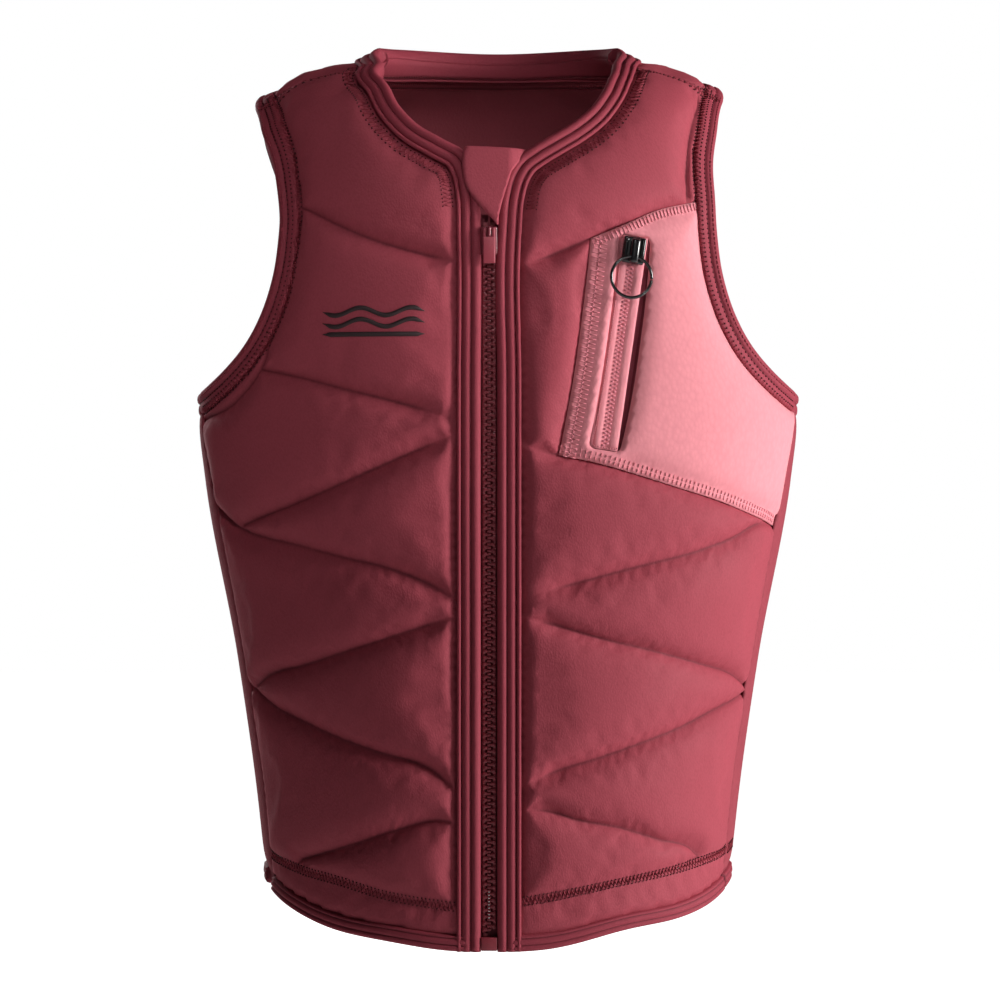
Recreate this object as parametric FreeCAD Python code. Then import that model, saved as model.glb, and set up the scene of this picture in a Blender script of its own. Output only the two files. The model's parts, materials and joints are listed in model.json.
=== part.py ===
import FreeCAD, Part
import math
import os

os.makedirs("parts", exist_ok=True)

Vec = FreeCAD.Vector

# ---------------------------------------------------------------------------
# Driving dimensions, in millimetres. The vest faces -Y, its wearer's left is
# +X, and height 0 is the lowest point of the front hem.
# ---------------------------------------------------------------------------

# Torso surface: height, half width, depth in front, depth behind.
STATIONS = [
    (-10, 152, 115, 90),
    (60, 157, 115, 86),
    (180, 173, 115, 86),
    (300, 195, 115, 100),
    (345, 199.5, 115, 106),
    (400, 195, 115, 110),
    (470, 181, 115, 107),
    (500, 172, 109, 104),
    (530, 162, 98, 99),
    (550, 154.5, 84, 93),
    (562, 146, 70, 87),
    (572, 116, 53, 78),
    (580, 93, 35, 69),
    (587, 80, 16, 60),
    (592, 76, 9, 53),
]
ROUNDNESS = 2.4
SECTION_POINTS = 28
SHOULDER_START = 520
SHOULDER_TOP = 585
NECK_MOUTH_RISE = 20

# Depths of the layers below the torso surface; a negative depth stands proud.
SHELL = (0.0, 2.5)
FOAM = (3.0, 13.0)
FOAM_BEHIND_POCKET = (8.0, 13.0)
LINING = (13.4, 15.4)
BINDING = (-1.0, 5.0)
PIPING = (-2.0, 2.0)
SIDE_PANEL = (0.6, 3.4)
POCKET_BAG = (6.2, 7.2)
FLAP = (-3.4, -1.4)

# Widths of the strips along the edges.
FRONT_BINDING_WIDTH = 12.0
PIPING_START = 12.2
PIPING_END = 14.4
PANEL_START = 14.8
EDGE_BINDING_WIDTH = 9.0
EDGE_PANEL_START = 9.4
SEAM_GAP = 0.4
FOAM_INSET = 10.5
FOAM_SIDE_INSET = 13.0

# Outer reach of the cutting prisms.
REACH_X = 240
REACH_Y = 160
REACH_TOP = 640
REACH_BOTTOM = -40

# Centre-front and neckline edges seen from the front: across, height.
CHAIN_X = -5.6
RIGHT_EDGE = [
    (-11.4, REACH_BOTTOM), (-11.4, 468), (-13.5, 492), (-20, 506), (-32, 515), (-45, 522),
    (-57, 532), (-67, 546), (-73, 561), (-77, 582), (-77.5, REACH_TOP),
]
LEFT_EDGE = [
    (0.2, REACH_BOTTOM), (0.2, 460), (3.5, 486), (9, 500), (18, 508.5), (30, 516.5),
    (43, 524), (56, 534), (67, 549), (73, 565), (76.5, 585), (77, REACH_TOP),
]

# Edges seen from the side: forward or back, height.
FRONT_HEM = [(-130, -3), (-115, 0), (-88, 11), (-58, 22), (-35, 29)]
FRONT_SIDE = [(-35, 115), (-32, 194), (-32, 278), (-22, 338)]
FRONT_ARMHOLE = [
    (-20, 356.5), (-36, 361), (-52, 369), (-68, 386), (-76, 406), (-79.5, 430), (-79, 456),
    (-75, 482), (-67, 504), (-54, 524), (-34, 545), (-14, 556), (-2, 560),
]
SIDE_FRONT_EDGE = [(-23, 115), (-20, 194), (-20, 278), (-9, 340)]
BACK_HEM = [(-23, 33), (0, 35.5), (25, 33), (50, 27), (80, 20), (130, 14)]
BACK_ARMHOLE = [
    (-1, 560), (14, 557), (32, 545), (48, 525), (60, 503), (69, 478), (73, 450), (72, 422),
    (66, 400), (54, 380), (40, 366), (25, 359),
]
UNDERARM = [(25, 359), (8, 356), (-11, 357)]
FRONT_SHOULDER_Y = -2
BACK_SHOULDER_Y = -1
BACK_SIDE_Y = 25.4
NECK_BINDING_HALF_WIDTH = 79
NECK_BINDING_BOTTOM = 580

# Foam inserts seen from the front: across, height.
RIGHT_FOAM = {
    "shoulder": [(-30, 447), (-30, 474), (-44, 492), (-60, 503), (-80, 521), (-92, 540), (-96, 554),
                 (-132, 541), (-126, 480), (-103, 468), (-56, 450)],
    "chest": [(-36, 345), (-36, 433), (-57, 440), (-105, 457), (-123, 467), (-131, 438), (-138, 410),
              (-152, 376), (-100, 362)],
    "rib": [(-36, 330), (-36, 335), (-101, 352), (-154, 363), (-177, 343), (-180, 283), (-166, 275),
            (-94, 304)],
    "upper_belly": [(-30, 320), (-94, 293), (-156, 267), (-94, 253), (-49, 240), (-30, 232)],
    "waist": [(-34, 216), (-49, 229), (-94, 242), (-164, 260), (-170, 248), (-160, 172), (-94, 195)],
    "lower_belly": [(-30, 206), (-94, 185), (-151, 164), (-101, 138), (-49, 122), (-30, 109)],
    "hip": [(-30, 91), (-30, 97), (-49, 112), (-101, 128), (-147, 146), (-153, 138), (-144, 64),
            (-122, 62), (-68, 80)],
    "hem": [(-30, 76), (-68, 70), (-118, 52), (-81, 41), (-30, 37)],
}
LEFT_FOAM = {
    "shoulder": [(22, 446), (22, 474), (30, 487), (61, 507), (80, 523), (92, 541), (95, 554),
                 (130, 542), (124, 515), (119, 483), (84, 468), (39, 449)],
    "chest": [(22, 323), (22, 430), (58, 443), (103, 465), (118, 470), (128, 423), (138, 397),
              (152, 376), (172, 352), (182, 300), (172, 278), (116, 299), (65, 315)],
    "upper_belly": [(22, 311), (65, 304), (116, 289), (158, 272), (123, 256), (65, 242), (22, 231)],
    "waist": [(30, 222), (97, 240), (166, 261), (171, 248), (160, 173), (130, 186), (65, 203),
              (32, 212)],
    "lower_belly": [(22, 205), (65, 194), (130, 176), (151, 165), (116, 143), (65, 127), (22, 111)],
    "hip": [(24, 96), (65, 118), (116, 134), (152, 150), (150, 100), (142, 64), (126, 64), (52, 88)],
    "hem": [(22, 82), (52, 79), (103, 63), (120, 54), (65, 42), (22, 38)],
}
# Right half of each back insert; the loop below mirrors it about the spine.
BACK_FOAM = {
    "shoulder": [(0, 442), (120, 478), (130, 540), (96, 556), (84, 566), (0, 566)],
    "blade": [(0, 345), (140, 374), (118, 466), (0, 434)],
    "rib": [(0, 331), (164, 276), (172, 340), (146, 364), (0, 336)],
    "spine": [(0, 230), (158, 266), (0, 323)],
    "waist": [(0, 216), (155, 172), (164, 256), (0, 222)],
    "lumbar": [(0, 110), (148, 160), (0, 208)],
    "tail": [(0, 36), (60, 40), (135, 62), (148, 150), (0, 102)],
}

# Main zip.
TOOTH_PITCH = 4.1
TOOTH_HEIGHT = 1.55
TOOTH_COUNT = 108
TEETH_BOTTOM = 14.0
TEETH_FRONT_Y = -112.4
TEETH_BACK_Y = -109.7
TAPE_FRONT_Y = -109.4
TAPE_BACK_Y = -108.7
TAPE_TOP = 467.0
TAPE_WIDTH = 14.0
SLIDER_WIDTH = 10.6
SLIDER_BOTTOM = 441.0
SLIDER_HEIGHT = 18.0
PULL_PIVOT_Z = 456.5
PULL_PIVOT_Y = -117.6
PULL_WIDTH = 8.0
PULL_LENGTH = 21.0

# Garage flap over the top of the zip, seen from the front.
FLAP_OUTLINE = [
    (-0.6, 458), (3.0, 486), (6.5, 507), (0, 507.5), (-21, 509), (-22.8, 501), (-22, 491),
    (-17.5, 480), (-10.5, 469),
]

# Chest pocket, seen from the front: across, height.
POCKET_OUTLINE = [
    (39, 314.5), (65, 309), (90, 302), (116, 294), (142, 286), (163, 278), (184, 268),
    (REACH_X, 262), (REACH_X, 480), (123, 476.5), (103, 471), (84, 462.5), (59.5, 452), (48.7, 368),
]
BAG_OUTLINE = [(52, 330), (60, 445), (84, 456), (116, 464), (128, 420), (140, 396), (150, 300)]
POCKET_CHAIN_TOP = Vec(86.4, -105.8, 447.9)
POCKET_CHAIN_BOTTOM = Vec(68.4, -110.7, 323.4)
POCKET_NORMAL = Vec(-0.2, 0.98, 0)
WINDOW_HALF_WIDTH = 10.4
WINDOW_HALF_LENGTH = 67.0
POCKET_TAPE_HALF_WIDTH = 9.4
POCKET_TAPE_HALF_LENGTH = 60.0
POCKET_PITCH = 2.6
POCKET_TOOTH_HEIGHT = 0.9
POCKET_TOOTH_COUNT = 46
RING_RADIUS = 13.1
RING_WIRE_RADIUS = 0.9
RING_PIVOT_DEPTH = -6.0
RING_PIVOT_UP = 55.1


# ---------------------------------------------------------------------------
# Torso surface
# ---------------------------------------------------------------------------

def smooth_step(start, end, value):
    """Rise smoothly from 0 at start to 1 at end."""
    part = min(1.0, max(0.0, (value - start) / (end - start)))
    return part * part * (3 - 2 * part)


def section(height, half_width, front_depth, back_depth):
    """One closed level curve of the torso."""
    points = []
    for index in range(SECTION_POINTS):
        turn = 2 * math.pi * index / SECTION_POINTS
        cosine, sine = math.cos(turn), math.sin(turn)
        across = half_width * math.copysign(abs(cosine) ** (2 / ROUNDNESS), cosine)
        depth = back_depth if sine > 0 else front_depth
        points.append(Vec(across, depth * sine, height))
    curve = Part.BSplineCurve()
    curve.interpolate(Points=points, PeriodicFlag=True)
    return Part.Wire([curve.toShape()])


TUBES = {}


def tube(depth):
    """The solid torso whose surface lies depth below the outer surface."""
    if depth in TUBES:
        return TUBES[depth]
    wires = []
    for height, half_width, front_depth, back_depth in STATIONS:
        lean = smooth_step(SHOULDER_START, SHOULDER_TOP, height)
        inward = depth * (1 - 0.7 * lean)
        foot = 5 if height < 0 and depth > 0 else 0
        wires.append(section(height - depth * lean - foot, half_width - inward,
                             max(3, front_depth - inward), back_depth - inward))
    if depth > 0:
        height, half_width, front_depth, back_depth = STATIONS[-1]
        inward = depth * 0.3 + 3
        wires.append(section(height + NECK_MOUTH_RISE, half_width - inward,
                             max(3, front_depth - inward), back_depth - inward))
    TUBES[depth] = Part.makeLoft(wires, True, True)
    return TUBES[depth]


LAYERS = {}


def layer(depths):
    """The closed skin between two depths."""
    if depths not in LAYERS:
        LAYERS[depths] = tube(depths[0]).cut(tube(depths[1]))
    return LAYERS[depths]


# ---------------------------------------------------------------------------
# Cutting prisms
# ---------------------------------------------------------------------------

def offset_chain(chain, distance):
    """Shift an open chain of points sideways, to the right of its direction."""
    shifted = []
    for index, (first, second) in enumerate(chain):
        before = chain[max(0, index - 1)]
        after = chain[min(len(chain) - 1, index + 1)]
        along = math.hypot(after[0] - before[0], after[1] - before[1])
        normal = ((after[1] - before[1]) / along, -(after[0] - before[0]) / along)
        shifted.append((first + normal[0] * distance, second + normal[1] * distance))
    return shifted


def front_prism(outline, y_low=-REACH_Y, y_high=REACH_Y):
    """Extrude an outline seen from the front, through the depth."""
    corners = [Vec(across, y_low, height) for across, height in outline]
    face = Part.Face(Part.makePolygon(corners + corners[:1]))
    return face.extrude(Vec(0, y_high - y_low, 0))


def side_prism(outline, x_low=-REACH_X, x_high=REACH_X):
    """Extrude an outline seen from the side, through the width."""
    corners = [Vec(x_low, depth, height) for depth, height in outline]
    face = Part.Face(Part.makePolygon(corners + corners[:1]))
    return face.extrude(Vec(x_high - x_low, 0, 0))


def front_region(side, inset):
    """All of one front that lies inset away from its zip and neck edge."""
    edge = LEFT_EDGE if side > 0 else RIGHT_EDGE
    chain = offset_chain(edge, side * inset)
    far = side * REACH_X
    outline = chain + [(far, REACH_TOP), (far, REACH_BOTTOM)]
    return front_prism(outline, -REACH_Y, 0)


def front_profile(side, hem_inset, armhole_inset, side_inset=0.0):
    """One front seen from the side, with its hem, side and armhole drawn in."""
    hem = [(depth - side_inset * (depth > -50), height + hem_inset) for depth, height in FRONT_HEM]
    seam = [(depth - side_inset, height) for depth, height in FRONT_SIDE]
    armhole = offset_chain(FRONT_ARMHOLE, -armhole_inset)
    top = [(FRONT_SHOULDER_Y, armhole[-1][1]), (FRONT_SHOULDER_Y, REACH_TOP),
           (-REACH_Y, REACH_TOP), (-REACH_Y, hem[0][1])]
    outline = hem + seam + armhole[:-1] + top
    if side > 0:
        return side_prism(outline, 0, REACH_X)
    return side_prism(outline, -REACH_X, 0)


def back_profile(hem_inset, armhole_inset):
    """The back seen from the side, with its hem and armholes drawn in."""
    hem = [(depth, height + hem_inset) for depth, height in BACK_HEM if depth > BACK_SIDE_Y]
    hem.insert(0, (BACK_SIDE_Y, BACK_HEM[2][1] + hem_inset))
    armhole = offset_chain(BACK_ARMHOLE, -armhole_inset)
    shoulder = [(BACK_SHOULDER_Y, REACH_TOP), (BACK_SHOULDER_Y, armhole[0][1])]
    foot = [(BACK_SIDE_Y, armhole[-1][1])]
    return side_prism(hem + [(hem[-1][0], REACH_TOP)] + shoulder + armhole[1:-1] + foot)


def mirror_outline(half):
    """Complete an outline that is given on one side of the spine."""
    other = [(-across, height) for across, height in reversed(half) if across > 0]
    return half + other


def box(x_low, y_low, z_low, x_high, y_high, z_high):
    """A block between two corners."""
    return Part.makeBox(x_high - x_low, y_high - y_low, z_high - z_low, Vec(x_low, y_low, z_low))


def comb(spine, tip, first, pitch, tooth_height, count, front, back):
    """A row of moulded teeth on its cord: spine is the cord's two edges."""
    inner, outer = spine
    half = tooth_height / 2
    corners = [(outer, first - pitch / 2)]
    corners.append((inner, first - pitch / 2))
    for index in range(count):
        middle = first + index * pitch
        corners += [(inner, middle - half), (tip, middle - half), (tip, middle + half),
                    (inner, middle + half)]
    last = first + (count - 0.5) * pitch
    corners += [(inner, last), (outer, last)]
    points = [Vec(across, front, height) for across, height in corners]
    face = Part.Face(Part.makePolygon(points + points[:1]))
    return face.extrude(Vec(0, back - front, 0))


# ---------------------------------------------------------------------------
# Fronts
# ---------------------------------------------------------------------------

def front_pieces(side, name):
    """Shell, lining, bindings and piping of one front."""
    whole = front_profile(side, 0, 0)
    panel = front_region(side, PANEL_START).common(
        front_profile(side, EDGE_PANEL_START, EDGE_PANEL_START))
    strip = front_region(side, 0).cut(front_region(side, FRONT_BINDING_WIDTH)).common(whole)
    cord = front_region(side, PIPING_START).cut(front_region(side, PIPING_END)).common(whole)
    inside = front_region(side, PANEL_START)
    hem = whole.cut(front_profile(side, EDGE_BINDING_WIDTH, 0)).common(inside)
    armhole = whole.cut(front_profile(side, 0, EDGE_BINDING_WIDTH)).common(inside)
    return {
        name + "_shell": layer(SHELL).common(panel),
        name + "_lining": layer(LINING).common(panel),
        name + "_binding": layer(BINDING).common(strip),
        name + "_piping": layer(PIPING).common(cord),
        name + "_hem_binding": layer(BINDING).common(hem),
        name + "_armhole_binding": layer(BINDING).common(armhole),
    }


def front_foam(side, name, outlines, thin_piece=None):
    """The foam inserts of one front; one may be thinner to leave room for a pocket."""
    pieces = {}
    room = front_profile(side, FOAM_INSET, FOAM_INSET, FOAM_SIDE_INSET).common(
        front_prism([(-REACH_X, REACH_BOTTOM), (REACH_X, REACH_BOTTOM), (REACH_X, REACH_TOP),
                     (-REACH_X, REACH_TOP)], -REACH_Y, FRONT_SHOULDER_Y - 6))
    for place, outline in outlines.items():
        depths = FOAM_BEHIND_POCKET if place == thin_piece else FOAM
        cutter = front_prism(outline).common(room)
        pieces[name + "_foam_" + place] = layer(depths).common(cutter)
    return pieces


# ---------------------------------------------------------------------------
# Back and sides
# ---------------------------------------------------------------------------

def back_pieces():
    """Shell, lining, foam, side panels and bindings of the back."""
    collar = box(-NECK_BINDING_HALF_WIDTH, BACK_SHOULDER_Y, NECK_BINDING_BOTTOM,
                 NECK_BINDING_HALF_WIDTH, REACH_Y, REACH_TOP)
    collar_room = box(-NECK_BINDING_HALF_WIDTH - SEAM_GAP, BACK_SHOULDER_Y - 1,
                      NECK_BINDING_BOTTOM - SEAM_GAP, NECK_BINDING_HALF_WIDTH + SEAM_GAP,
                      REACH_Y, REACH_TOP)
    panel = back_profile(EDGE_PANEL_START, EDGE_PANEL_START).cut(collar_room)
    hem_top = [(depth, height + EDGE_BINDING_WIDTH) for depth, height in BACK_HEM]
    hem = side_prism(BACK_HEM + hem_top[::-1])
    arm_chain = BACK_ARMHOLE + UNDERARM[1:]
    arm_outer = offset_chain(arm_chain, -EDGE_BINDING_WIDTH)
    arm_outer[0] = (BACK_SHOULDER_Y, arm_outer[0][1])
    armholes = side_prism(arm_chain + arm_outer[::-1])
    panel = panel.cut(armholes)
    pieces = {
        "back_shell": layer(SHELL).common(panel),
        "back_lining": layer(LINING).common(panel),
        "back_hem_binding": layer(BINDING).common(hem),
        "back_armhole_bindings": layer(BINDING).common(armholes),
        "back_neck_binding": layer(BINDING).common(collar),
    }
    foam_room = back_profile(FOAM_INSET, FOAM_INSET + 1.5)
    for place, half in BACK_FOAM.items():
        cutter = front_prism(mirror_outline(half), 8, REACH_Y).common(foam_room)
        pieces["back_foam_" + place] = layer(FOAM).common(cutter)
    side_top = 346.5
    outline = [(BACK_SIDE_Y - SEAM_GAP, BACK_HEM[2][1] + EDGE_PANEL_START),
               (BACK_SIDE_Y - SEAM_GAP, side_top), (-8, side_top)]
    outline += SIDE_FRONT_EDGE[::-1]
    outline += [(depth, height + EDGE_PANEL_START) for depth, height in BACK_HEM[:2]]
    pieces["left_side_panel"] = layer(SIDE_PANEL).common(side_prism(outline, 0, REACH_X))
    pieces["right_side_panel"] = layer(SIDE_PANEL).common(side_prism(outline, -REACH_X, 0))
    return pieces


# ---------------------------------------------------------------------------
# Main zip
# ---------------------------------------------------------------------------

def zip_pieces():
    """Tapes, teeth, stops, bottom box and pin of the main zip."""
    teeth_top = TEETH_BOTTOM + TOOTH_COUNT * TOOTH_PITCH
    pieces = {}
    for side, name in ((-1, "right"), (1, "left")):
        near, far = CHAIN_X + side * 0.35, CHAIN_X + side * TAPE_WIDTH
        pieces[name + "_zip_tape"] = box(min(near, far), TAPE_FRONT_Y, 1, max(near, far),
                                         TAPE_BACK_Y, TAPE_TOP)
        first = TEETH_BOTTOM + (0 if side < 0 else TOOTH_PITCH / 2)
        pieces[name + "_zip_teeth"] = comb(
            (CHAIN_X + side * 1.6, CHAIN_X + side * 3.9), CHAIN_X - side * 1.3, first,
            TOOTH_PITCH, TOOTH_HEIGHT, TOOTH_COUNT, TEETH_FRONT_Y, TEETH_BACK_Y)
        stop_near, stop_far = CHAIN_X + side * 0.9, CHAIN_X + side * 3.9
        pieces[name + "_zip_top_stop"] = box(min(stop_near, stop_far), TEETH_FRONT_Y, teeth_top + 2,
                                             max(stop_near, stop_far), TEETH_BACK_Y, teeth_top + 5)
    shell = box(CHAIN_X - 5.3, -115.0, 0.6, CHAIN_X + 5.3, -107.6, 9.5)
    hollow = box(CHAIN_X - 6.0, -113.4, 2.2, CHAIN_X + 0.4, -109.2, 11)
    tape_slot = box(CHAIN_X - 6.0, -109.8, 0, CHAIN_X + 6.0, -108.3, 11)
    wings = shell.cut(hollow).cut(tape_slot)
    post = box(CHAIN_X + 0.6, -112.5, 2.2, CHAIN_X + 3.6, -107.7, 9.4)
    tape_room = box(CHAIN_X + 0.34, -109.45, 0, CHAIN_X + 6.0, -108.65, 11)
    pieces["zip_retainer_box"] = wings.fuse(post).cut(tape_room)
    pieces["zip_insert_pin"] = box(CHAIN_X - 3.6, -112.3, 3.0, CHAIN_X - 1.0, TAPE_FRONT_Y - 0.1,
                                   11.6)
    return pieces


def arch(centre_y, centre_z, outer, inner, half_thickness, base_y):
    """A loop standing on a slider's front wing, its hole along X."""
    low = Vec(CHAIN_X - half_thickness, centre_y, centre_z)
    across = Vec(1, 0, 0)
    loop = Part.makeCylinder(outer, 2 * half_thickness, low, across)
    foot = box(CHAIN_X - half_thickness, centre_y, centre_z - outer,
               CHAIN_X + half_thickness, base_y, centre_z + outer)
    hole = Part.makeCylinder(inner, 2 * half_thickness, low, across)
    return loop.fuse(foot).cut(hole)


def slider_pieces():
    """The main slider's two wings with its lug, and the pull that swings on it."""
    half = SLIDER_WIDTH / 2
    top = SLIDER_BOTTOM + SLIDER_HEIGHT
    front = box(CHAIN_X - half, -115.4, SLIDER_BOTTOM, CHAIN_X + half, -113.4, top)
    upright = [edge for edge in front.Edges
               if abs(edge.Vertexes[0].Y - edge.Vertexes[1].Y) > 1]
    front = front.makeFillet(2.5, upright)
    lug = arch(PULL_PIVOT_Y, PULL_PIVOT_Z, 2.1, 1.1, 1.2, -115.0)
    back = box(CHAIN_X - half, -108.1, SLIDER_BOTTOM, CHAIN_X + half, -106.7, top)
    slider = Part.makeCompound([front.fuse(lug), back])

    bar = Part.makeCylinder(0.7, PULL_WIDTH, Vec(CHAIN_X - PULL_WIDTH / 2, PULL_PIVOT_Y, PULL_PIVOT_Z),
                            Vec(1, 0, 0))
    plate = box(CHAIN_X - PULL_WIDTH / 2, PULL_PIVOT_Y - 0.7, PULL_PIVOT_Z - PULL_LENGTH,
                CHAIN_X + PULL_WIDTH / 2, PULL_PIVOT_Y + 0.7, PULL_PIVOT_Z)
    eye = box(CHAIN_X - 1.8, PULL_PIVOT_Y - 2, PULL_PIVOT_Z - 3.4, CHAIN_X + 1.8, PULL_PIVOT_Y + 2,
              PULL_PIVOT_Z + 2)
    pull = plate.cut(eye).fuse(bar)
    return {"main_slider": slider, "main_pull": pull}


# ---------------------------------------------------------------------------
# Chest pocket
# ---------------------------------------------------------------------------

def pocket_placement():
    """The pocket zip's own frame: X across, Y into the vest, Z up the chain."""
    up = POCKET_CHAIN_TOP.sub(POCKET_CHAIN_BOTTOM)
    up.normalize()
    inward = POCKET_NORMAL.sub(Vec(up.x, up.y, up.z).multiply(POCKET_NORMAL.dot(up)))
    inward.normalize()
    across = inward.cross(up)
    middle = POCKET_CHAIN_TOP.add(POCKET_CHAIN_BOTTOM).multiply(0.5)
    return FreeCAD.Placement(middle, FreeCAD.Rotation(across, inward, up, "ZXY"))


def placed(shape):
    """Put a shape that is built in the pocket zip's frame in its place."""
    result = shape.copy()
    result.Placement = pocket_placement()
    return result


def rounded_slot(half_width, half_length, low, high):
    """A slot with round ends, in the pocket zip's frame."""
    straight = half_length - half_width
    body = box(-half_width, low, -straight, half_width, high, straight)
    for end in (-straight, straight):
        body = body.fuse(Part.makeCylinder(half_width, high - low, Vec(0, low, end), Vec(0, 1, 0)))
    return body


def pocket_pieces():
    """The pocket's outer panel, zip, welt, bag, slider and ring."""
    panel_region = front_region(1, PANEL_START).common(
        front_profile(1, EDGE_PANEL_START, EDGE_PANEL_START)).common(front_prism(POCKET_OUTLINE))
    window = placed(rounded_slot(WINDOW_HALF_WIDTH, WINDOW_HALF_LENGTH, -12, 4.5))
    welt = rounded_slot(WINDOW_HALF_WIDTH + 2.6, WINDOW_HALF_LENGTH + 2.6, -1.6, -0.9)
    welt = welt.cut(rounded_slot(WINDOW_HALF_WIDTH, WINDOW_HALF_LENGTH, -3, 1))
    tapes = []
    combs = []
    for side in (-1, 1):
        near, far = side * 0.4, side * POCKET_TAPE_HALF_WIDTH
        tapes.append(box(min(near, far), 3.5, -POCKET_TAPE_HALF_LENGTH, max(near, far), 4.1,
                         POCKET_TAPE_HALF_LENGTH))
        first = -POCKET_PITCH * (POCKET_TOOTH_COUNT - 1) / 2 + side * POCKET_PITCH / 4
        combs.append(comb((side * 1.2, side * 2.6), -side * 0.9, first, POCKET_PITCH,
                          POCKET_TOOTH_HEIGHT, POCKET_TOOTH_COUNT, 0.6, 3.2))
    wing = box(-7.3, -4.0, 52, 7.3, -2.4, 68)
    corners = [edge for edge in wing.Edges if abs(edge.Vertexes[0].Y - edge.Vertexes[1].Y) > 1]
    wing = wing.makeFillet(3.5, corners)
    loop_outer, loop_inner, loop_half = 2.3, 1.4, 1.1
    loop_start = Vec(-loop_half, RING_PIVOT_DEPTH, RING_PIVOT_UP)
    lug = Part.makeCylinder(loop_outer, 2 * loop_half, loop_start, Vec(1, 0, 0))
    lug = lug.fuse(box(-loop_half, RING_PIVOT_DEPTH, RING_PIVOT_UP - loop_outer, loop_half, -3.8,
                       RING_PIVOT_UP + loop_outer))
    lug = lug.cut(Part.makeCylinder(loop_inner, 2 * loop_half, loop_start, Vec(1, 0, 0)))
    back_wing = box(-5, 4.3, 53, 5, 4.9, 66)
    ring = Part.makeTorus(RING_RADIUS, RING_WIRE_RADIUS,
                          Vec(0, RING_PIVOT_DEPTH, RING_PIVOT_UP - RING_RADIUS), Vec(0, 1, 0))
    return {
        "pocket_panel": layer(SHELL).common(panel_region).cut(window),
        "pocket_zip_welt": placed(welt),
        "pocket_zip_tapes": placed(Part.makeCompound(tapes)),
        "pocket_zip_teeth": placed(Part.makeCompound(combs)),
        "pocket_bag": layer(POCKET_BAG).common(front_prism(BAG_OUTLINE, -REACH_Y, -20)),
        "pocket_slider": placed(Part.makeCompound([wing.fuse(lug), back_wing])),
        "pocket_ring": placed(ring),
    }


# ---------------------------------------------------------------------------
# The whole vest
# ---------------------------------------------------------------------------

def build():
    """Every node of the vest by name."""
    nodes = back_pieces()
    nodes.update(front_pieces(-1, "right_front"))
    nodes.update(front_pieces(1, "left_front"))
    pocket = pocket_pieces()
    nodes["left_front_shell"] = nodes["left_front_shell"].cut(front_prism(POCKET_OUTLINE))
    nodes.update(front_foam(-1, "right", RIGHT_FOAM))
    nodes.update(front_foam(1, "left", LEFT_FOAM, thin_piece="chest"))
    nodes.update(pocket)
    nodes.update(zip_pieces())
    nodes.update(slider_pieces())
    nodes["garage_flap"] = layer(FLAP).common(front_prism(FLAP_OUTLINE, -REACH_Y, -20))
    return nodes


for node, shape in build().items():
    box_of = shape.BoundBox
    solids = len(shape.Solids)
    print(f"{node:28s} solids {solids}  valid {shape.isValid()}  volume {shape.Volume / 1000:8.2f} cm3"
          f"  x {box_of.XMin:.0f}..{box_of.XMax:.0f}  y {box_of.YMin:.0f}..{box_of.YMax:.0f}"
          f"  z {box_of.ZMin:.0f}..{box_of.ZMax:.0f}")
    if solids == 1:
        shape = shape.Solids[0]
    shape.exportStep(f"parts/{node}.step")
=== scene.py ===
import json
import logging
import math
from dataclasses import dataclass, field
from enum import Enum
from typing import Callable, Optional, Sequence

import bpy
import numpy as np
from mathutils import Matrix, Vector
from mathutils.bvhtree import BVHTree
from mathutils.geometry import delaunay_2d_cdt
from mathutils.kdtree import KDTree

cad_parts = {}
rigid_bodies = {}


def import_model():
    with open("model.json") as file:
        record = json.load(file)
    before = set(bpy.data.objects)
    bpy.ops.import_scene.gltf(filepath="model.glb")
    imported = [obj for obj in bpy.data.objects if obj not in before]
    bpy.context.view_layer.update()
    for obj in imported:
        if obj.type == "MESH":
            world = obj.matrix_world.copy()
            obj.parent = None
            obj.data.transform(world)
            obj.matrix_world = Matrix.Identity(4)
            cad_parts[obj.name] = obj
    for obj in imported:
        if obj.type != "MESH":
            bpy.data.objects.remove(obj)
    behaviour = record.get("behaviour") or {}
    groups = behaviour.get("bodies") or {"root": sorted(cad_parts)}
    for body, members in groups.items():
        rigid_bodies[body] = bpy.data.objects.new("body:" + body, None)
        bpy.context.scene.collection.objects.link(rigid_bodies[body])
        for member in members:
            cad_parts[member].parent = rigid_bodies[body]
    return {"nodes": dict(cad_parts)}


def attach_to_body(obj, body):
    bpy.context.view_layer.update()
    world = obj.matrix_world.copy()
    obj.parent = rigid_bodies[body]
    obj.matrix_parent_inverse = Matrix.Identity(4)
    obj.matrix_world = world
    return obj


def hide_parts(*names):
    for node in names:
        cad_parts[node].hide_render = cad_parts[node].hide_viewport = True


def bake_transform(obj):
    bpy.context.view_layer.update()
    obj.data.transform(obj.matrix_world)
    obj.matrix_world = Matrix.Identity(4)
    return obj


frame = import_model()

log = logging.getLogger("impact_vest")

Array = np.ndarray
Line = Sequence[tuple[float, float]]
Colour = tuple[float, float, float]

# Lengths are millimetres until a mesh is made, which is in metres.
METRES_PER_MM = 0.001

# Torso surface, as in the part: height, half width, depth in front, depth behind.
STATIONS = (
    (-10, 152, 115, 90), (60, 157, 115, 86), (180, 173, 115, 86), (300, 195, 115, 100),
    (345, 199.5, 115, 106), (400, 195, 115, 110), (470, 181, 115, 107), (500, 172, 109, 104),
    (530, 162, 98, 99), (550, 154.5, 84, 93), (562, 146, 70, 87), (572, 116, 53, 78),
    (580, 93, 35, 69), (587, 80, 16, 60), (592, 76, 9, 53),
)
ROUNDNESS = 2.4
CHAIN_X = -5.6

# How far a side panel reaches under the front that it is sewn to.
SEAM_LAP = 2.6


class Side(Enum):
    """The wearer's two sides; the value is the sign of the across axis."""

    LEFT = 1
    RIGHT = -1

    @property
    def body(self) -> str:
        """Name of the body of this side's front."""
        return f"{self.name.lower()}_front"


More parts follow.
